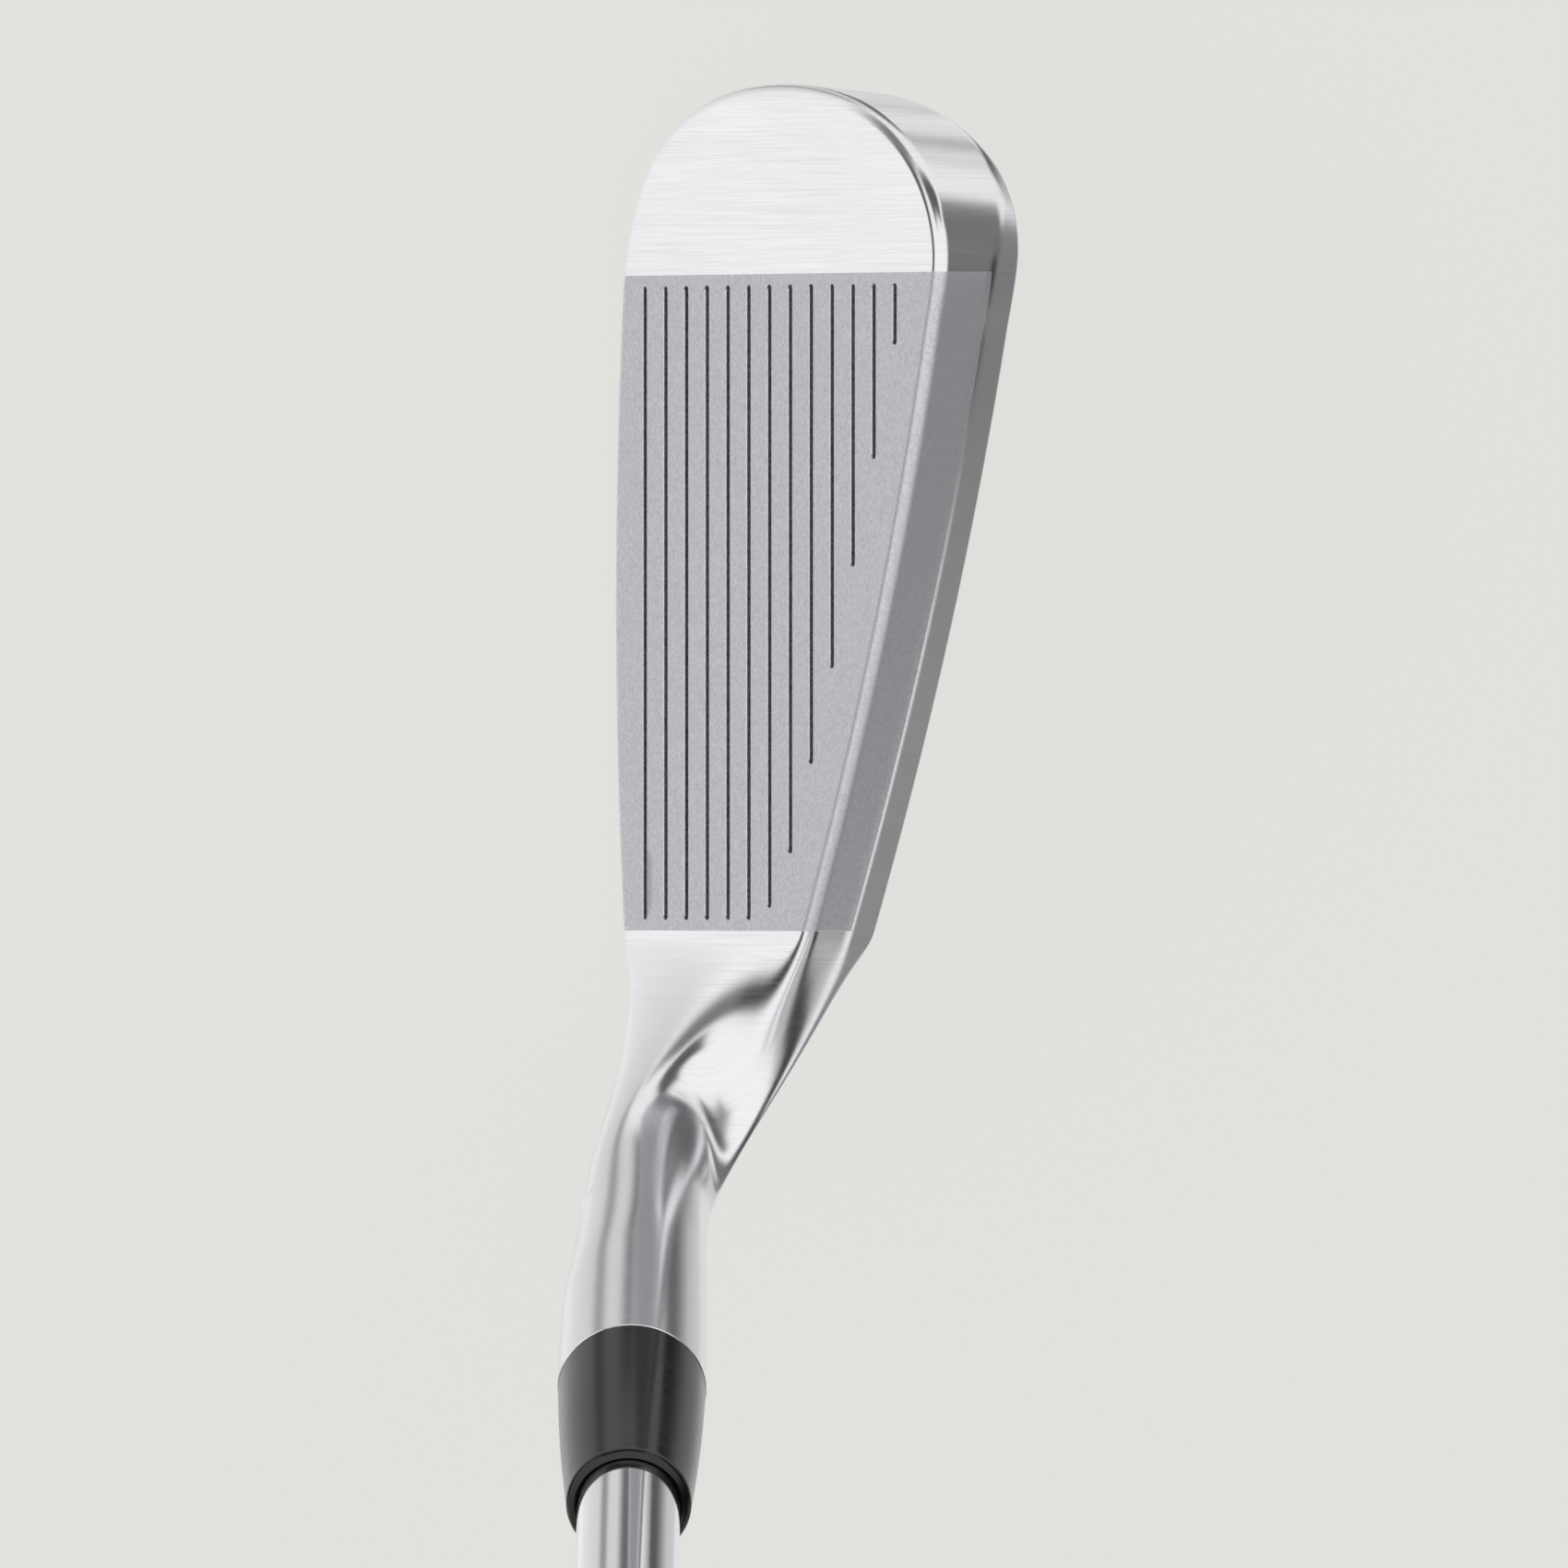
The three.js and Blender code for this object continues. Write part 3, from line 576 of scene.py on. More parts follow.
def make_head(material, groove_painted_shade_material):
    head = head_blank()
    cut(head, prism("cavity_cutter", cavity_outline(0), FACE_THICKNESS, 30))
    hole = SCREW_RADIUS + GAP
    deep = SCREW_LENGTH + GAP
    section = [(0, -deep), (hole, -deep), (hole, -0.4), (hole + 0.4, 0), (hole + 5, 5), (0, 5)]
    drill = turned("screw_drill", section, 64)
    drill.data.transform(MUSCLE_MATRIX)
    cut(head, drill)
    cut(head, groove_cutter())
    mark_grooves(head)
    head.name = "head"
    settle(head)
    smooth_shade(head, 28)
    finish_piece(head, "head_body", material)
    # the second slot holds the groove finish, whose dark colour is painted shade
    head.data.materials.append(groove_painted_shade_material)
    return head


def mark_grooves(head):
    """Gives the faces inside the scoring lines the second finish, whose darker colour is painted shade."""
    for face in head.data.polygons:
        x, up, deep = FACE_INVERSE @ face.center
        index = round((up - GROOVE_FIRST_UP) / GROOVE_PITCH)
        if not 0 <= index < GROOVE_COUNT or abs(x) > GROOVE_HALF + 0.1:
            continue
        if not 0.03 < deep < GROOVE_DEPTH + 0.05:
            continue
        outline = groove_outline(index, GROOVE_WIDTH)
        heel = max(p[0] for p in outline)
        if x < heel + 0.1 and abs(up - GROOVE_FIRST_UP - index * GROOVE_PITCH) < GROOVE_WIDTH:
            face.material_index = 1


# ---------------------------------------------------------------- other pieces
def tube_from(name, profile, segments=96, matrix=SHAFT_MATRIX, angle=30):
    """A closed turned tube on the shaft's axis; the profile comes back to its first point."""
    piece = turned(name, profile, segments)
    tidy_normals(piece, 0.001)
    settle(piece, matrix)
    smooth_shade(piece, angle)
    return piece


def arc(centre, radius, start, end, steps):
    """Profile points of an arc, as (radius, height)."""
    points = []
    for i in range(steps + 1):
        a = math.radians(mix(start, end, i / steps))
        points.append((centre[0] + radius * math.cos(a), centre[1] + radius * math.sin(a)))
    return points


def ferrule_radius(t):
    return mix(HOSEL_RADIUS - 0.05, FERRULE_END_RADIUS, t) + FERRULE_SWELL * math.sin(math.pi * t)


def shaft_radius(along):
    """Outer radius of the stepped shaft, measured from the ground along its axis."""
    if along <= FIRST_STEP:
        return TIP_RADIUS
    rise = (BUTT_RADIUS - TIP_RADIUS) / STEP_COUNT
    past = (along - FIRST_STEP) / STEP_SPACING
    steps = min(STEP_COUNT, math.floor(past) + 1)
    into = (along - FIRST_STEP - (steps - 1) * STEP_SPACING)
    return TIP_RADIUS + rise * (steps - 1) + rise * smooth(into / 1.0)


def make_ferrule(material):
    inner = TIP_RADIUS + SLEEVE_GAP / 2
    low, high = HOSEL_TOP + 0.02, HOSEL_TOP + FERRULE_LENGTH
    outer = [(ferrule_radius(i / 24), mix(low + 0.06, high - 1.1, i / 24)) for i in range(25)]
    end = ferrule_radius(1)
    profile = [(inner, low), (outer[0][0] - 0.06, low)] + outer
    profile += arc((end - 0.55, high - 0.75), 0.55, 0, 75, 5)[1:]
    profile += [(inner + 0.25, high - 0.1), (inner, high - 0.35), (inner, low)]
    piece = tube_from("ferrule_sleeve", profile, 128)
    return finish_piece(piece, "ferrule", material)


def make_shaft(material):
    top = CLUB_LENGTH - CAP_THICKNESS
    wall_tip, wall_butt = TIP_RADIUS - TIP_WALL, BUTT_RADIUS - BUTT_WALL
    profile = [(wall_tip, SHAFT_START), (TIP_RADIUS - 0.3, SHAFT_START), (TIP_RADIUS, SHAFT_START + 0.3)]
    profile += [(TIP_RADIUS, a) for a in (70, 90, 150, 210, FIRST_STEP - 0.3)]
    for step in range(STEP_COUNT):
        start = FIRST_STEP + step * STEP_SPACING
        profile += [(shaft_radius(start + i / 6), start + i / 6) for i in range(1, 7)]
        profile += [(shaft_radius(start + 2), start + a) for a in (1.4, STEP_SPACING / 2, STEP_SPACING - 0.3)]
    profile += [(BUTT_RADIUS, top - 0.3), (BUTT_RADIUS - 0.3, top), (wall_butt, top)]
    last_step = FIRST_STEP + STEP_COUNT * STEP_SPACING
    profile += [(wall_butt, last_step), (wall_tip, FIRST_STEP), (wall_tip, SHAFT_START)]
    piece = tube_from("shaft_tube", profile, 96)
    return finish_piece(piece, "shaft", material)


def make_band(material):
    inner = shaft_radius(BAND_START + BAND_LENGTH) + SLEEVE_GAP * 0.2
    outer = inner + BAND_THICKNESS
    low, high = BAND_START, BAND_START + BAND_LENGTH
    profile = [(inner, low), (outer - 0.04, low), (outer, low + 0.06), (outer, high - 0.06),
               (outer - 0.04, high), (inner, high), (inner, low)]
    piece = tube_from("shaft_label_band", profile, 96)
    return finish_piece(piece, "shaft_band", material)


GRIP_END = CLUB_LENGTH - CAP_THICKNESS
GRIP_START = GRIP_END - GRIP_LENGTH
MOUTH_RINGS, BUTT_RINGS = 16, 14  # lengths with rings, next to the mouth and the butt
GRIP_PANELS = 6
RING_PRESS, BAR_PRESS, DIAMOND_PRESS = 0.35, 0.4, 0.32  # how deep each part of the mould presses
DIAMOND_TURNS, DIAMOND_PITCH = 12, 7


def grip_radius(along):
    t = (along - GRIP_START) / GRIP_LENGTH
    return mix(GRIP_MOUTH_RADIUS, GRIP_BUTT_RADIUS, max(0, t) ** GRIP_TAPER_POWER)


def make_grip(material):
    """The rubber sleeve, with its moulded bars and diamond fields pressed into the mesh."""
    inner = BUTT_RADIUS + TAPE_THICKNESS + SLEEVE_GAP * 2
    sides, rows = 24, 52
    profile = [(inner, GRIP_START), (GRIP_MOUTH_RADIUS - 0.6, GRIP_START),
               (GRIP_MOUTH_RADIUS - 0.1, GRIP_START + 0.5)]
    first, run_length = GRIP_START + 1.2, GRIP_LENGTH - 1.6
    profile += [(grip_radius(a), a) for a in (first + run_length * i / rows for i in range(rows + 1))]
    profile += [(grip_radius(GRIP_END) - 0.4, GRIP_END), (inner, GRIP_END), (inner, GRIP_START)]
    piece = turned("grip_sleeve", profile, sides)
    tidy_normals(piece, 0.001)
    apply_modifier(piece, "SUBSURF", subdivision_type="SIMPLE", levels=3, render_levels=3)
    half_side = math.pi / sides
    for vertex in piece.data.vertices:
        around = math.atan2(vertex.co.y, vertex.co.x)
        rounding = math.cos(around % (2 * half_side) - half_side) / math.cos(half_side)
        radius = math.hypot(vertex.co.x, vertex.co.y) * rounding
        along = vertex.co.z - GRIP_START
        press = 0
        if radius > inner + 0.6 and 4 < along < GRIP_LENGTH - 2:
            press = grip_press(along, around)
        vertex.co.x *= rounding * (1 - press / radius)
        vertex.co.y *= rounding * (1 - press / radius)
    settle(piece, SHAFT_MATRIX)
    smooth_shade(piece, 40)
    return finish_piece(piece, "grip", material)


def grip_press(along, around):
    """How deep the mould presses at a place on the grip."""
    if along < MOUTH_RINGS:
        return RING_PRESS * smooth((math.cos(2 * math.pi * along / 3) - 0.35) / 0.4)
    if along > GRIP_LENGTH - BUTT_RINGS:
        return RING_PRESS * smooth((math.cos(2 * math.pi * (GRIP_LENGTH - along) / 3.5) - 0.4) / 0.4)
    panel = (along - MOUTH_RINGS) / (GRIP_LENGTH - MOUTH_RINGS - BUTT_RINGS) * GRIP_PANELS
    part = panel - math.floor(panel)
    climb = 2 * math.pi * along / DIAMOND_PITCH
    a = math.cos(DIAMOND_TURNS * around + climb)
    b = math.cos(DIAMOND_TURNS * around - climb)
    diamond = DIAMOND_PRESS * smooth((max(a, b) - 0.86) / 0.1)
    edge = smooth((part - 0.04) / 0.03) * smooth((0.96 - part) / 0.03)
    return max(BAR_PRESS * (1 - edge), diamond * edge)


def make_cap(material):
    low, high = GRIP_END + 0.05, CLUB_LENGTH
    outer = GRIP_BUTT_RADIUS
    profile = [(0, low), (outer - 0.4, low), (outer, low + 0.4), (outer + 0.05, low + 1.6)]
    profile += arc((outer - 1.7, high - 1.9), 1.75, 0, 82, 8)
    profile += [(7.4, high - 0.05), (7.2, high - 0.5), (6.4, high - 0.5), (6.2, high - 0.05), (2.4, high)]
    profile += arc((VENT_RADIUS + 0.5, high - 0.5), 0.5, 90, 180, 5) + [(VENT_RADIUS, high - 2.6), (0, high - 2.6)]
    piece = turned("grip_end_cap", profile, 128)
    tidy_normals(piece, 0.001)
    settle(piece, SHAFT_MATRIX)
    smooth_shade(piece, 35)
    return finish_piece(piece, "grip_cap", material)


def make_screw(material):
    """The weight screw: a broken edge, a slightly crowned head and a six-sided socket."""
    top = -0.35
    foot = -SCREW_LENGTH + 0.1
    profile = [(0, foot), (SCREW_RADIUS - 0.5, foot), (SCREW_RADIUS, foot + 0.5), (SCREW_RADIUS, top - 0.4)]
    profile += arc((SCREW_RADIUS - 0.35, top - 0.35), 0.35, 0, 80, 5)[1:] + [(2.1, top + 0.05), (0, top + 0.05)]
    screw = turned("weight_screw", profile, 96)
    deselect()
    bpy.ops.mesh.primitive_cylinder_add(vertices=6, radius=1.95, depth=3.2, location=(0, 0, top - 1.2))
    key = bpy.context.object
    cut(screw, key)
    section = [(0, top - 0.5), (1.55, top - 0.5), (2.15, top + 0.1), (2.15, top + 1), (0, top + 1)]
    cut(screw, turned("socket_chamfer", section, 48))
    settle(screw, MUSCLE_MATRIX)
    smooth_shade(screw, 25)
    return finish_piece(screw, "toe_weight_screw", material)


def copy_of_node(node, name):
    """A merged copy of a CAD node's mesh, in millimetres on the bench."""
    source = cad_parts[node]
    piece = bpy.data.objects.new(name, source.data.copy())
    bpy.context.scene.collection.objects.link(piece)
    piece.data.transform(Matrix.Scale(1 / MM, 4))
    tidy_normals(piece, 0.005)
    take(piece)
    bpy.ops.object.mode_set(mode="EDIT")
    bpy.ops.mesh.select_all(action="SELECT")
    bpy.ops.mesh.dissolve_limited(angle_limit=math.radians(1))
    bpy.ops.object.mode_set(mode="OBJECT")
    return piece


def make_badge(material):
    """The cavity badge: a plate with a raised rim, a stepped field and slanted channels."""
    badge = copy_of_node("cavity_badge", "cavity_badge_plate")
    badge.data.transform(FACE_INVERSE)
    outer = max(v.co.z for v in badge.data.vertices)
    take(badge)
    bpy.ops.object.mode_set(mode="EDIT")
    bpy.ops.mesh.select_mode(type="FACE")
    bpy.ops.mesh.select_all(action="DESELECT")
    shell = bmesh.from_edit_mesh(badge.data)
    for face in shell.faces:
        face.select = face.normal.z > 0.9 and abs(face.calc_center_median().z - outer) < 0.05
    bmesh.update_edit_mesh(badge.data)
    for thickness, depth in ((0.18, 0.16), (1.3, 0), (0.25, -0.3), (1.0, 0), (0.22, 0.26)):
        bpy.ops.mesh.inset(thickness=thickness, depth=depth, use_boundary=True)
    bpy.ops.object.mode_set(mode="OBJECT")
    points, faces = [], []
    for i in range(5):
        x = -22 + i * 4.2
        corners = [(x, 18), (x + 1.4, 18), (x + 1.4 + 14, 46), (x + 14, 46)]
        base = len(points)
        points += [Vector((a, b, height)) for height in (outer - 0.12, outer + 2) for a, b in corners]
        faces += [(base, base + 3, base + 2, base + 1), (base + 4, base + 5, base + 6, base + 7)]
        faces += [(base + j, base + (j + 1) % 4, base + 4 + (j + 1) % 4, base + 4 + j) for j in range(4)]
    lines = from_mesh("badge_channels", points, faces)
    tidy_normals(lines, 1e-4)
    cut(badge, lines)
    badge.data.transform(FACE_MATRIX)
    settle(badge)
    smooth_shade(badge, 20)
    return finish_piece(badge, "cavity_badge", material)


# ---------------------------------------------------------------- finishes
class Socket:
    """A shader socket that takes part in Python expressions."""

    def __init__(self, book, socket):
        self.book, self.socket = book, socket

    def math(self, operation, *others):
        values = {i: value for i, value in enumerate((self, *others))}
        return self.book.node("ShaderNodeMath", {"operation": operation}, values)

    def __add__(self, other):
        return self.math("ADD", other)

    def __mul__(self, other):
        return self.math("MULTIPLY", other)

    __radd__, __rmul__ = __add__, __mul__

    def __sub__(self, other):
        return self.math("SUBTRACT", other)

    def __rsub__(self, other):
        return self.book.node("ShaderNodeMath", {"operation": "SUBTRACT"}, {0: other, 1: self})

    def __truediv__(self, other):
        return self.math("DIVIDE", other)

    def __neg__(self):
        return self * -1

    def __abs__(self):
        return self.math("ABSOLUTE")

    def ramp(self, low, high, to_low=0.0, to_high=1.0):
        """A soft step from low to high."""
        values = {"Value": self, "From Min": low, "From Max": high, "To Min": to_low, "To Max": to_high}
        return self.book.node("ShaderNodeMapRange", {"interpolation_type": "SMOOTHSTEP"}, values)

    def band(self, centre, half, soft):
        """1 within half of a centre, falling to 0 over soft."""
        return abs(self - centre).ramp(half, half + soft, 1.0, 0.0)


class Book:
    """The node tree of one finish, or of the light round the object."""

    def __init__(self, tree):
        self.tree = tree
        tree.nodes.clear()

    def node(self, kind, settings=(), values=(), output=0):
        node = self.tree.nodes.new(kind)
        for key, value in dict(settings).items():
            setattr(node, key, value)
        for key, value in dict(values).items():
            if isinstance(value, Socket):
                self.tree.links.new(value.socket, node.inputs[key])
            else:
                node.inputs[key].default_value = value
        return Socket(self, node.outputs[output]) if node.outputs else None

    def split(self, vector):
        return [self.node("ShaderNodeSeparateXYZ", values={0: vector}, output=i) for i in range(3)]

    def join(self, x, y, z):
        return self.node("ShaderNodeCombineXYZ", values={0: x, 1: y, 2: z})

    def place(self):
        """Object coordinates in millimetres."""
        raw = self.node("ShaderNodeTexCoord", output=3)
        return self.node("ShaderNodeVectorMath", {"operation": "SCALE"}, {0: raw, "Scale": 1 / MM})

    def dot(self, vector, direction):
        return self.node("ShaderNodeVectorMath", {"operation": "DOT_PRODUCT"}, {0: vector, 1: direction}, "Value")

    def noise(self, vector, scale, detail=2.0, rough=0.5):
        values = {"Vector": vector, "Scale": scale, "Detail": detail, "Roughness": rough}
        return self.node("ShaderNodeTexNoise", values=values)

    def mix(self, factor, a, b):
        """Two values mixed."""
        return self.node("ShaderNodeMix", {"data_type": "FLOAT"}, {0: factor, 2: a, 3: b})

    def tint(self, factor, a, b):
        """Two colours mixed."""
        return self.node("ShaderNodeMix", {"data_type": "RGBA"}, {0: factor, 6: a, 7: b}, 2)

    def bump(self, height, distance, strength=1.0):
        values = {"Height": height, "Distance": distance, "Strength": strength}
        return self.node("ShaderNodeBump", values=values)

    def surface(self, **sockets):
        names = {key.replace("_", " ").title().replace("Ior", "IOR"): value for key, value in sockets.items()}
        shader = self.node("ShaderNodeBsdfPrincipled", values=names)
        self.node("ShaderNodeOutputMaterial", values={"Surface": shader})


def rgb(red, green, blue):
    return (red, green, blue, 1.0)


def finish(name):
    material = bpy.data.materials.new(name)
    material.use_nodes = True
    return material, Book(material.node_tree)


def groove_painted_shade_finish():
    """Milled groove walls: duller than the blasted face round them, and darker in colour, which is painted shade in
    the recesses.
    """
    material, book = finish("groove_milling_painted_shade")
    place = book.place()
    marks = book.noise(place, 4.0, 2.0)
    # painted shade: the dark base colours stand in for the shade inside the grooves; the roughness and bump are the
    # milling
    book.surface(base_color=book.tint(marks.ramp(0.3, 0.7), rgb(0.15, 0.153, 0.16), rgb(0.30, 0.305, 0.315)),
                 metallic=1.0, roughness=marks.ramp(0.3, 0.7, 0.45, 0.6), normal=book.bump(marks, 0.00002, 0.5))
    return material


def head_finish():
    """Bright brushed plating, with a blasted hitting area that wraps over the topline."""
    material, book = finish("forged_head_plating")
    place = book.place()
    x, y, z = book.split(place)
    back, rise = y - CORNER_Y, z - CORNER_Z
    up = back * math.sin(LOFT) + rise * math.cos(LOFT)
    deep = back * math.cos(LOFT) - rise * math.sin(LOFT)
    flat = x * -TOPLINE_TAPER + TOPLINE_DEPTH
    limit = book.mix(up.ramp(10, 14), 1.4, flat + 0.02)
    across = abs(x).ramp(SCORING_HALF, SCORING_HALF + 0.06, 1.0, 0.0)
    blasted = across * (deep - limit).ramp(0.0, 0.05, 1.0, 0.0) * up.ramp(-0.3, -0.2) * deep.ramp(-1.2, -1.0)
    along = book.dot(place, tuple(AXIS)) - AXIS.dot(AXIS_GROUND)
    stem = x.ramp(31, 46)
    blade_lines = book.noise(book.join(x * 7.5, y * 0.08, z * 0.08), 1.0, 3.0, 0.6)
    stem_lines = book.noise(book.join(along * 7.5, x * 0.08, y * 0.08), 1.0, 3.0, 0.6)
    lines = book.mix(stem, blade_lines, stem_lines)
    cloud = book.noise(place, 0.09, 2.0)
    grain = book.noise(place, 2.6, 3.0, 0.7)
    fine = book.noise(place, 6.0, 1.0)
    grit = book.mix(0.45, grain, fine)
    bright = book.tint(cloud, rgb(0.94, 0.945, 0.955), rgb(0.90, 0.905, 0.92))
    bright = book.tint(lines.ramp(0.35, 0.75, 0, 0.5), bright, rgb(0.83, 0.84, 0.86))
    dull = book.tint(grit.ramp(0.3, 0.7), rgb(0.655, 0.665, 0.695), rgb(0.83, 0.84, 0.87))
    colour = book.tint(blasted, bright, dull)
    polished = lines.ramp(0.25, 0.75, 0.17, 0.24)
    rough = book.mix(blasted, polished, grit.ramp(0.3, 0.7, 0.5, 0.4))
    height = book.mix(blasted, lines * 0.025, grit)
    normal = book.bump(height, 0.00004, 0.6)
    book.surface(base_color=colour, metallic=1.0, roughness=rough, normal=normal)
    return material


def chrome_finish(name, base, rough):
    """Bright tube plating with drawn lines round the axis."""
    material, book = finish(name)
    place = book.place()
    x, y, _ = book.split(place)
    along = book.dot(place, tuple(AXIS))
    lines = book.noise(book.join(along * 7, x * 0.15, y * 0.15), 1.0, 2.0)
    cloud = book.noise(place, 0.05, 2.0)
    colour = book.tint(cloud, rgb(*(0.98 * c for c in base)), rgb(*(1.03 * c for c in base)))
    book.surface(base_color=colour, metallic=1.0, roughness=lines.ramp(0.3, 0.7, rough * 0.7, rough * 1.3),
                 normal=book.bump(lines, 0.000004, 0.5))
    return material


def ferrule_finish():
    """Black moulded plastic, polished round the axis."""
    material, book = finish("ferrule_moulding")
    place = book.place()
    along = book.dot(place, tuple(AXIS))
    x, y, _ = book.split(place)
    lines = book.noise(book.join(along * 6, x * 0.1, y * 0.1), 1.0, 2.0)
    specks = book.noise(place, 1.5, 2.0)
    colour = book.tint(specks.ramp(0.3, 0.7), rgb(0.005, 0.005, 0.0053), rgb(0.008, 0.008, 0.0084))
    book.surface(base_color=colour, roughness=lines.ramp(0.3, 0.7, 0.14, 0.24), ior=1.55,
                 normal=book.bump(lines, 0.000006, 0.6))
    return material


def rubber_finish(name, dark, light, rough=0.62):
    """Moulded rubber: a fine grain, a little bloom and polish on the high places."""
    material, book = finish(name)
    place = book.place()
    grain = book.noise(place, 3.2, 3.0, 0.65)
    bloom = book.noise(place, 0.06, 3.0)
    colour = book.tint(bloom.ramp(0.3, 0.7), dark, light)
    colour = book.tint(grain.ramp(0.45, 0.8, 0, 0.5), colour, tuple(1.4 * c for c in light[:3]) + (1.0,))
    book.surface(base_color=colour, roughness=grain.ramp(0.3, 0.7, rough + 0.08, rough - 0.1),
                 normal=book.bump(grain, 0.00006, 0.7))
    return material


def badge_finish():
    """Fine-brushed anodised aluminium."""
    material, book = finish("badge_anodised")
    place = book.place()
    x, y, z = book.split(place)
    lines = book.noise(book.join(x * 0.25, y * 9, z * 9), 1.0, 3.0, 0.6)
    cloud = book.noise(place, 0.12, 2.0)
    colour = book.tint(cloud, rgb(0.23, 0.24, 0.26), rgb(0.30, 0.31, 0.33))
    colour = book.tint(lines.ramp(0.35, 0.75, 0, 0.5), colour, rgb(0.45, 0.46, 0.48))
    book.surface(base_color=colour, metallic=0.9, roughness=lines.ramp(0.3, 0.7, 0.28, 0.42),
                 normal=book.bump(lines, 0.000012, 0.6))
    return material


def steel_finish(name, base, rough):
    """Turned or ground metal with fine tool marks and small scuffs."""
    material, book = finish(name)
    place = book.place()
    marks = book.noise(place, 1.8, 4.0, 0.7)
    scuffs = book.noise(place, 0.5, 3.0)
    colour = book.tint(scuffs.ramp(0.35, 0.75), rgb(*base), rgb(*(0.8 * c for c in base)))
    book.surface(base_color=colour, metallic=1.0, roughness=marks.ramp(0.3, 0.7, rough * 0.8, rough * 1.25),
                 normal=book.bump(marks, 0.00001, 0.5))
    return material


def plain_finish(name, dark, light, rough, scale, metallic=0.0):
    material, book = finish(name)
    place = book.place()
    flecks = book.noise(place, scale, 3.0, 0.6)
    book.surface(base_color=book.tint(flecks.ramp(0.3, 0.7), dark, light), metallic=metallic,
                 roughness=flecks.ramp(0.3, 0.7, rough - 0.08, rough + 0.08), normal=book.bump(flecks, 0.00003, 0.5))
    return material


def band_finish():
    """A printed sleeve: a dark ground with three bright rules round it."""
    material, book = finish("band_print")
    place = book.place()
    along = book.dot(place, tuple(AXIS)) - AXIS.dot(AXIS_GROUND) - BAND_START
    rules = along.band(3.0, 0.5, 0.08) + along.band(BAND_LENGTH - 3.0, 0.5, 0.08)
    rules = rules + along.band(BAND_LENGTH / 2, 3.5, 0.08)
    weave = book.noise(place, 2.5, 2.0)
    colour = book.tint(rules.math("MINIMUM", 1.0), rgb(0.03, 0.032, 0.036), rgb(0.55, 0.56, 0.58))
    book.surface(base_color=colour, roughness=weave.ramp(0.3, 0.7, 0.26, 0.36), coat_weight=0.4,
                 normal=book.bump(weave, 0.00001, 0.4))
    return material


# ---------------------------------------------------------------- the object
make_head(head_finish(), groove_painted_shade_finish())
chrome = (0.93, 0.94, 0.955)
make_ferrule(ferrule_finish())
make_shaft(chrome_finish("shaft_plating", chrome, 0.09))
make_band(band_finish())
make_grip(rubber_finish("grip_rubber", rgb(0.012, 0.012, 0.013), rgb(0.02, 0.02, 0.021)))
make_cap(rubber_finish("cap_rubber", rgb(0.014, 0.014, 0.015), rgb(0.024, 0.024, 0.025), 0.5))
make_screw(steel_finish("screw_steel", (0.55, 0.55, 0.56), 0.3))
make_badge(badge_finish())
for node, material in (
    ("badge_damper", rubber_finish("damper_rubber", rgb(0.01, 0.01, 0.011), rgb(0.018, 0.018, 0.019))),
    ("tip_weight", steel_finish("tip_brass", (0.72, 0.52, 0.22), 0.32)),
    ("hosel_epoxy", plain_finish("epoxy", rgb(0.16, 0.15, 0.12), rgb(0.24, 0.22, 0.17), 0.35, 0.8)),
    ("grip_tape", plain_finish("tape_paper", rgb(0.62, 0.57, 0.46), rgb(0.74, 0.69, 0.58), 0.7, 1.4)),
):
    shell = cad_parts[node]
    shell.data.materials.clear()
    shell.data.materials.append(material)


# ---------------------------------------------------------------- floor, light and camera
BACKGROUND = (0.753, 0.745, 0.716)


def make_floor():
    deselect()
    bpy.ops.mesh.primitive_circle_add(vertices=96, radius=5, fill_type="NGON", location=(0, 0, -0.0002))
    floor = bpy.context.object
    floor.name = "studio_floor"
    material, book = finish("floor_paper")
    book.surface(base_color=rgb(0.05, 0.05, 0.048), roughness=0.9, specular_ior_level=0.0,
                 emission_color=rgb(*BACKGROUND), emission_strength=0.965)
    floor.data.materials.append(material)
    floor.visible_glossy = False
    floor.visible_diffuse = False


def level(tone):
    """The light of a tone on the usual 0 to 255 scale."""
    s = tone / 255
    return s / 12.92 if s <= 0.04045 else ((s + 0.055) / 1.055) ** 2.4


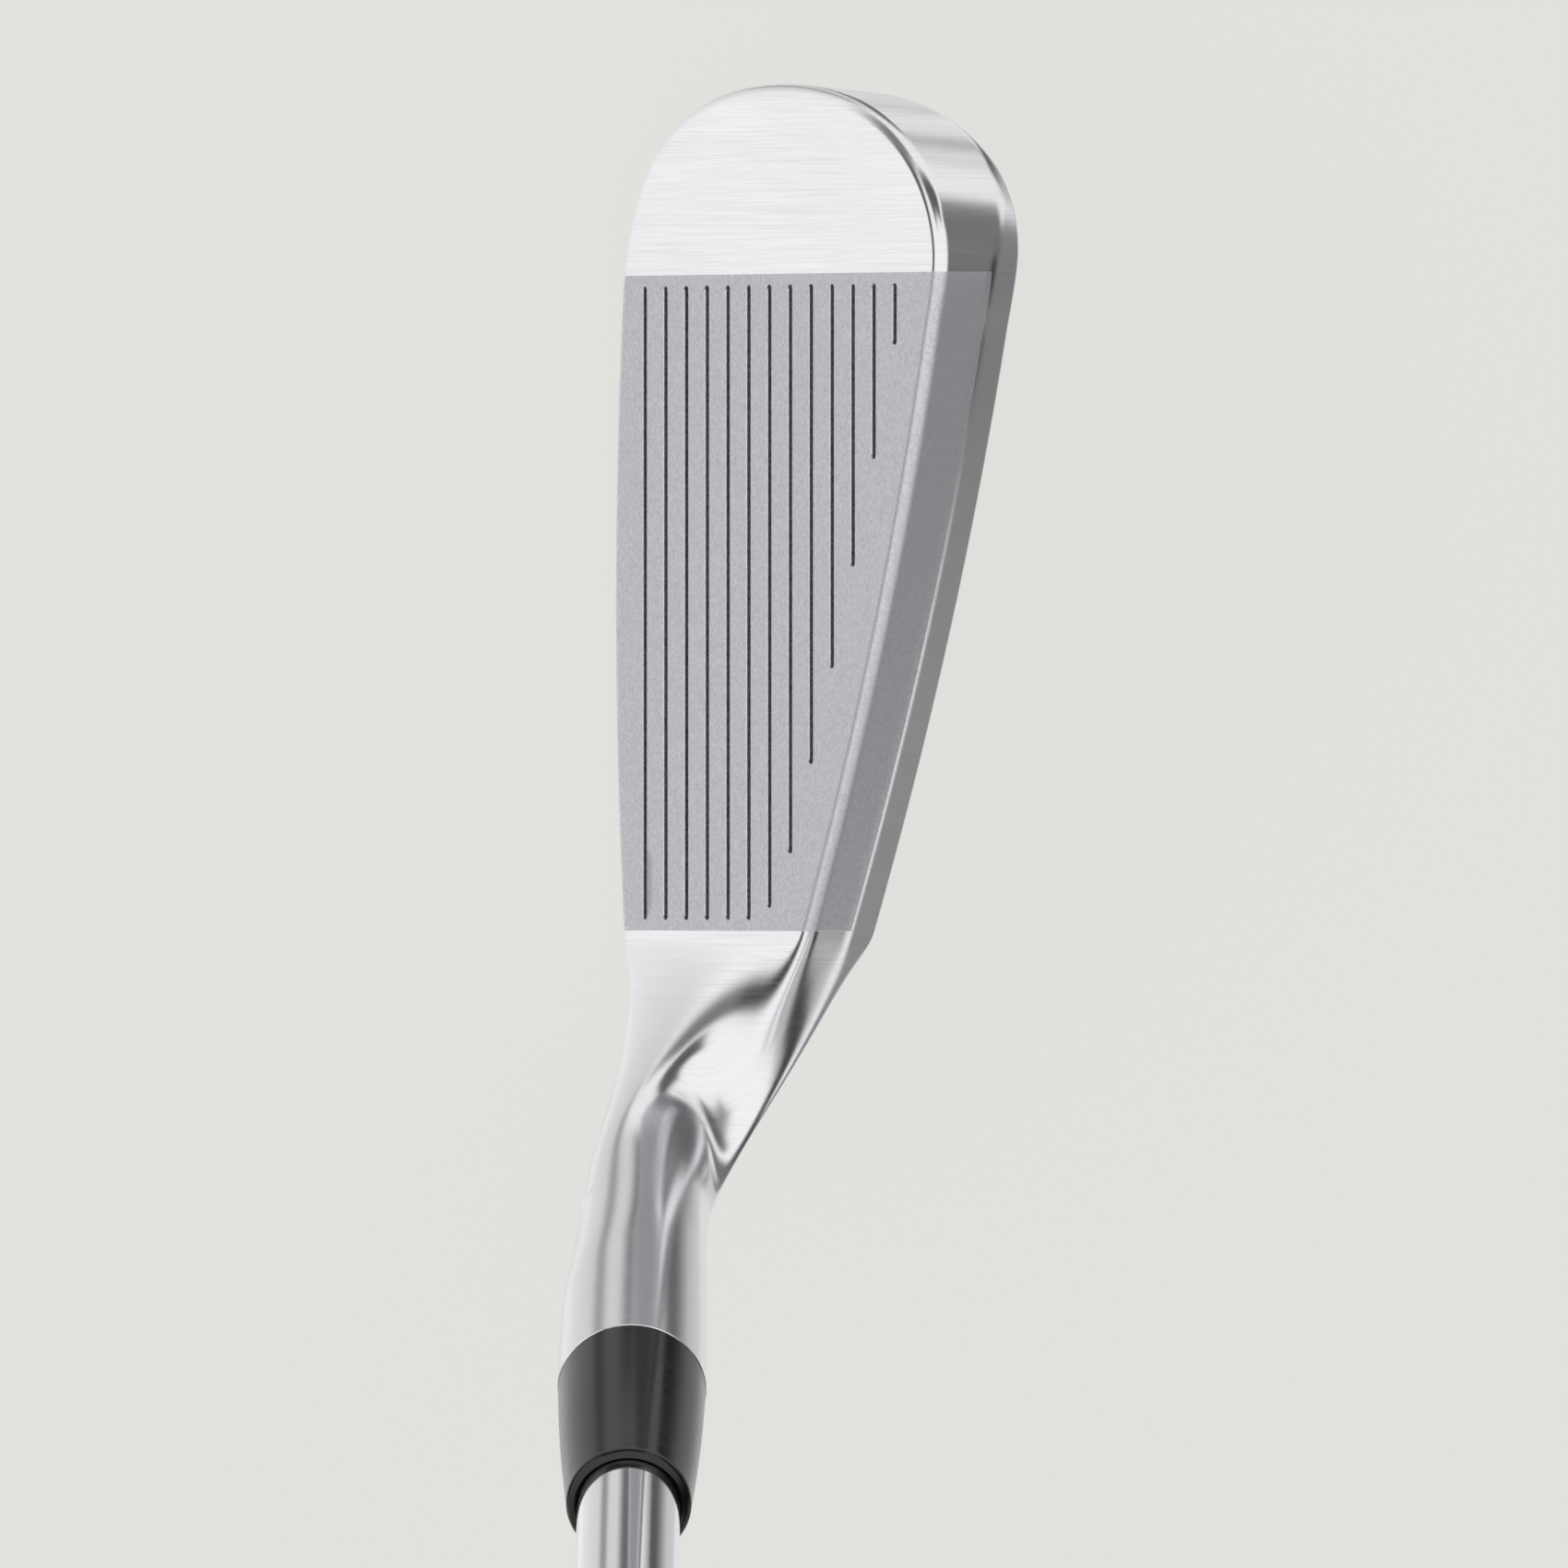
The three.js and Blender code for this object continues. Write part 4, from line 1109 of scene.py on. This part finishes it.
def make_light():
    """A white tent: bright all round, with the dark gaps and cards that shape bright metal.
    Turn is the direction round from the toe side, towards the front; rise is the height above the floor."""
    world = bpy.data.worlds.new("studio_tent")
    bpy.context.scene.world = world
    world.use_nodes = True
    book = Book(world.node_tree)
    x, y, z = book.split(book.node("ShaderNodeTexCoord", output=0))
    degrees = 180 / math.pi
    turn = book.node("ShaderNodeMath", {"operation": "ARCTAN2"}, {0: -y, 1: -x}) * degrees
    rise = z.math("ARCSINE") * degrees

    light = rise.ramp(-20, 30, level(240), level(250))
    light = light + turn.band(90, 28, 24) * rise.ramp(-12, -20) * 0.22
    heel_card = abs(turn).ramp(118, 144) * rise.ramp(-28, -8) * rise.ramp(45, 62, 1, 0)
    light = book.mix(heel_card * 0.8, light, level(165))
    rear = turn.band(-114, 42, 14)
    slant = rise - (turn + 112) * 0.57
    light = book.mix(rear * rise.ramp(6, 14) * rise.ramp(30, 48, 1, 0), light, level(56))
    light = book.mix(rear * slant.ramp(-8, -5) * slant.ramp(9, 16, 1, 0), light, level(242))
    light = book.mix(rear * slant.ramp(-9.5, -7.5, 1, 0) * rise.ramp(-46, -34), light, level(134))
    light = book.mix(rear * slant.band(-7, 1.3, 1.6), light, level(78))
    side_card = turn.band(-80, 34, 10) * rise.ramp(-8, 0) * rise.ramp(28, 38, 1, 0)
    light = book.mix(side_card, light, level(112))
    light = book.mix(turn.band(-100, 12, 5) * slant.ramp(-7, -2) * rise.ramp(14, 22, 1, 0), light, level(44))
    toe_card = turn.band(12, 32, 14) * rise.ramp(10, 20) * rise.ramp(44, 56, 1, 0)
    light = book.mix(toe_card, light, level(84))
    light = book.mix(turn.band(72, 36, 12) * rise.band(-6, 7, 13), light, level(116))
    light = book.mix(turn.band(90, 16, 10) * rise.band(-7, 4, 9), light, level(52))

    # low on the toe side: a pale wall with one black flag and one thin gap, which draw the long bands
    # down the hosel and the shaft
    wall = book.mix(turn.ramp(-20, 0), turn.ramp(-110, -55, level(226), level(198)),
                    turn.ramp(34, 80, level(212), level(240)))
    flag = turn.ramp(-58, -36) * turn.ramp(3.5, 14.5, 1, 0)
    flag_light = book.mix(turn.band(-21, 1, 8), turn.ramp(-36, 0, level(90), level(105)), level(120))
    wall = book.mix(flag, wall, flag_light)
    wall = book.mix(turn.band(30, 0.5, 8), wall, level(150))
    low = rise.ramp(-26, -33) * rise.ramp(-74, -62) * turn.band(0, 112, 10)
    light = book.mix(low, light, wall)
    light = book.mix(low * turn.band(-21, 7, 4) * (1 - rise.band(-41.5, 1.5, 4) * 0.8), light, level(236))
    light = book.mix(rise.ramp(-62, -78), light, level(224))

    camera_ray = book.node("ShaderNodeLightPath", output=0)
    glow = book.node("ShaderNodeBackground", values={"Color": book.join(light, light, light)})
    paper = book.node("ShaderNodeBackground", values={"Color": rgb(*BACKGROUND)})
    mixed = book.node("ShaderNodeMixShader", values={0: camera_ray, 1: glow, 2: paper})
    book.node("ShaderNodeOutputWorld", values={"Surface": mixed})


def make_camera():
    """Straight down from far above, with the toe at the top of the frame."""
    data = bpy.data.cameras.new("studio_camera")
    camera = bpy.data.objects.new("studio_camera", data)
    bpy.context.scene.collection.objects.link(camera)
    plane, distance, half_width = 0.045, 5.5, 0.06855  # metres: sharp plane, camera above it, half the frame
    data.sensor_width = 36
    data.lens = 18 * distance / half_width
    data.clip_start, data.clip_end = 0.1, 50
    camera.location = (0.01593, 0.00631, plane + distance)
    camera.rotation_euler = (0, 0, math.radians(90))
    bpy.context.scene.camera = camera


make_floor()
make_light()
make_camera()
bpy.context.scene.view_settings.view_transform = "Standard"
bpy.context.scene.view_settings.look = "None"
deselect()
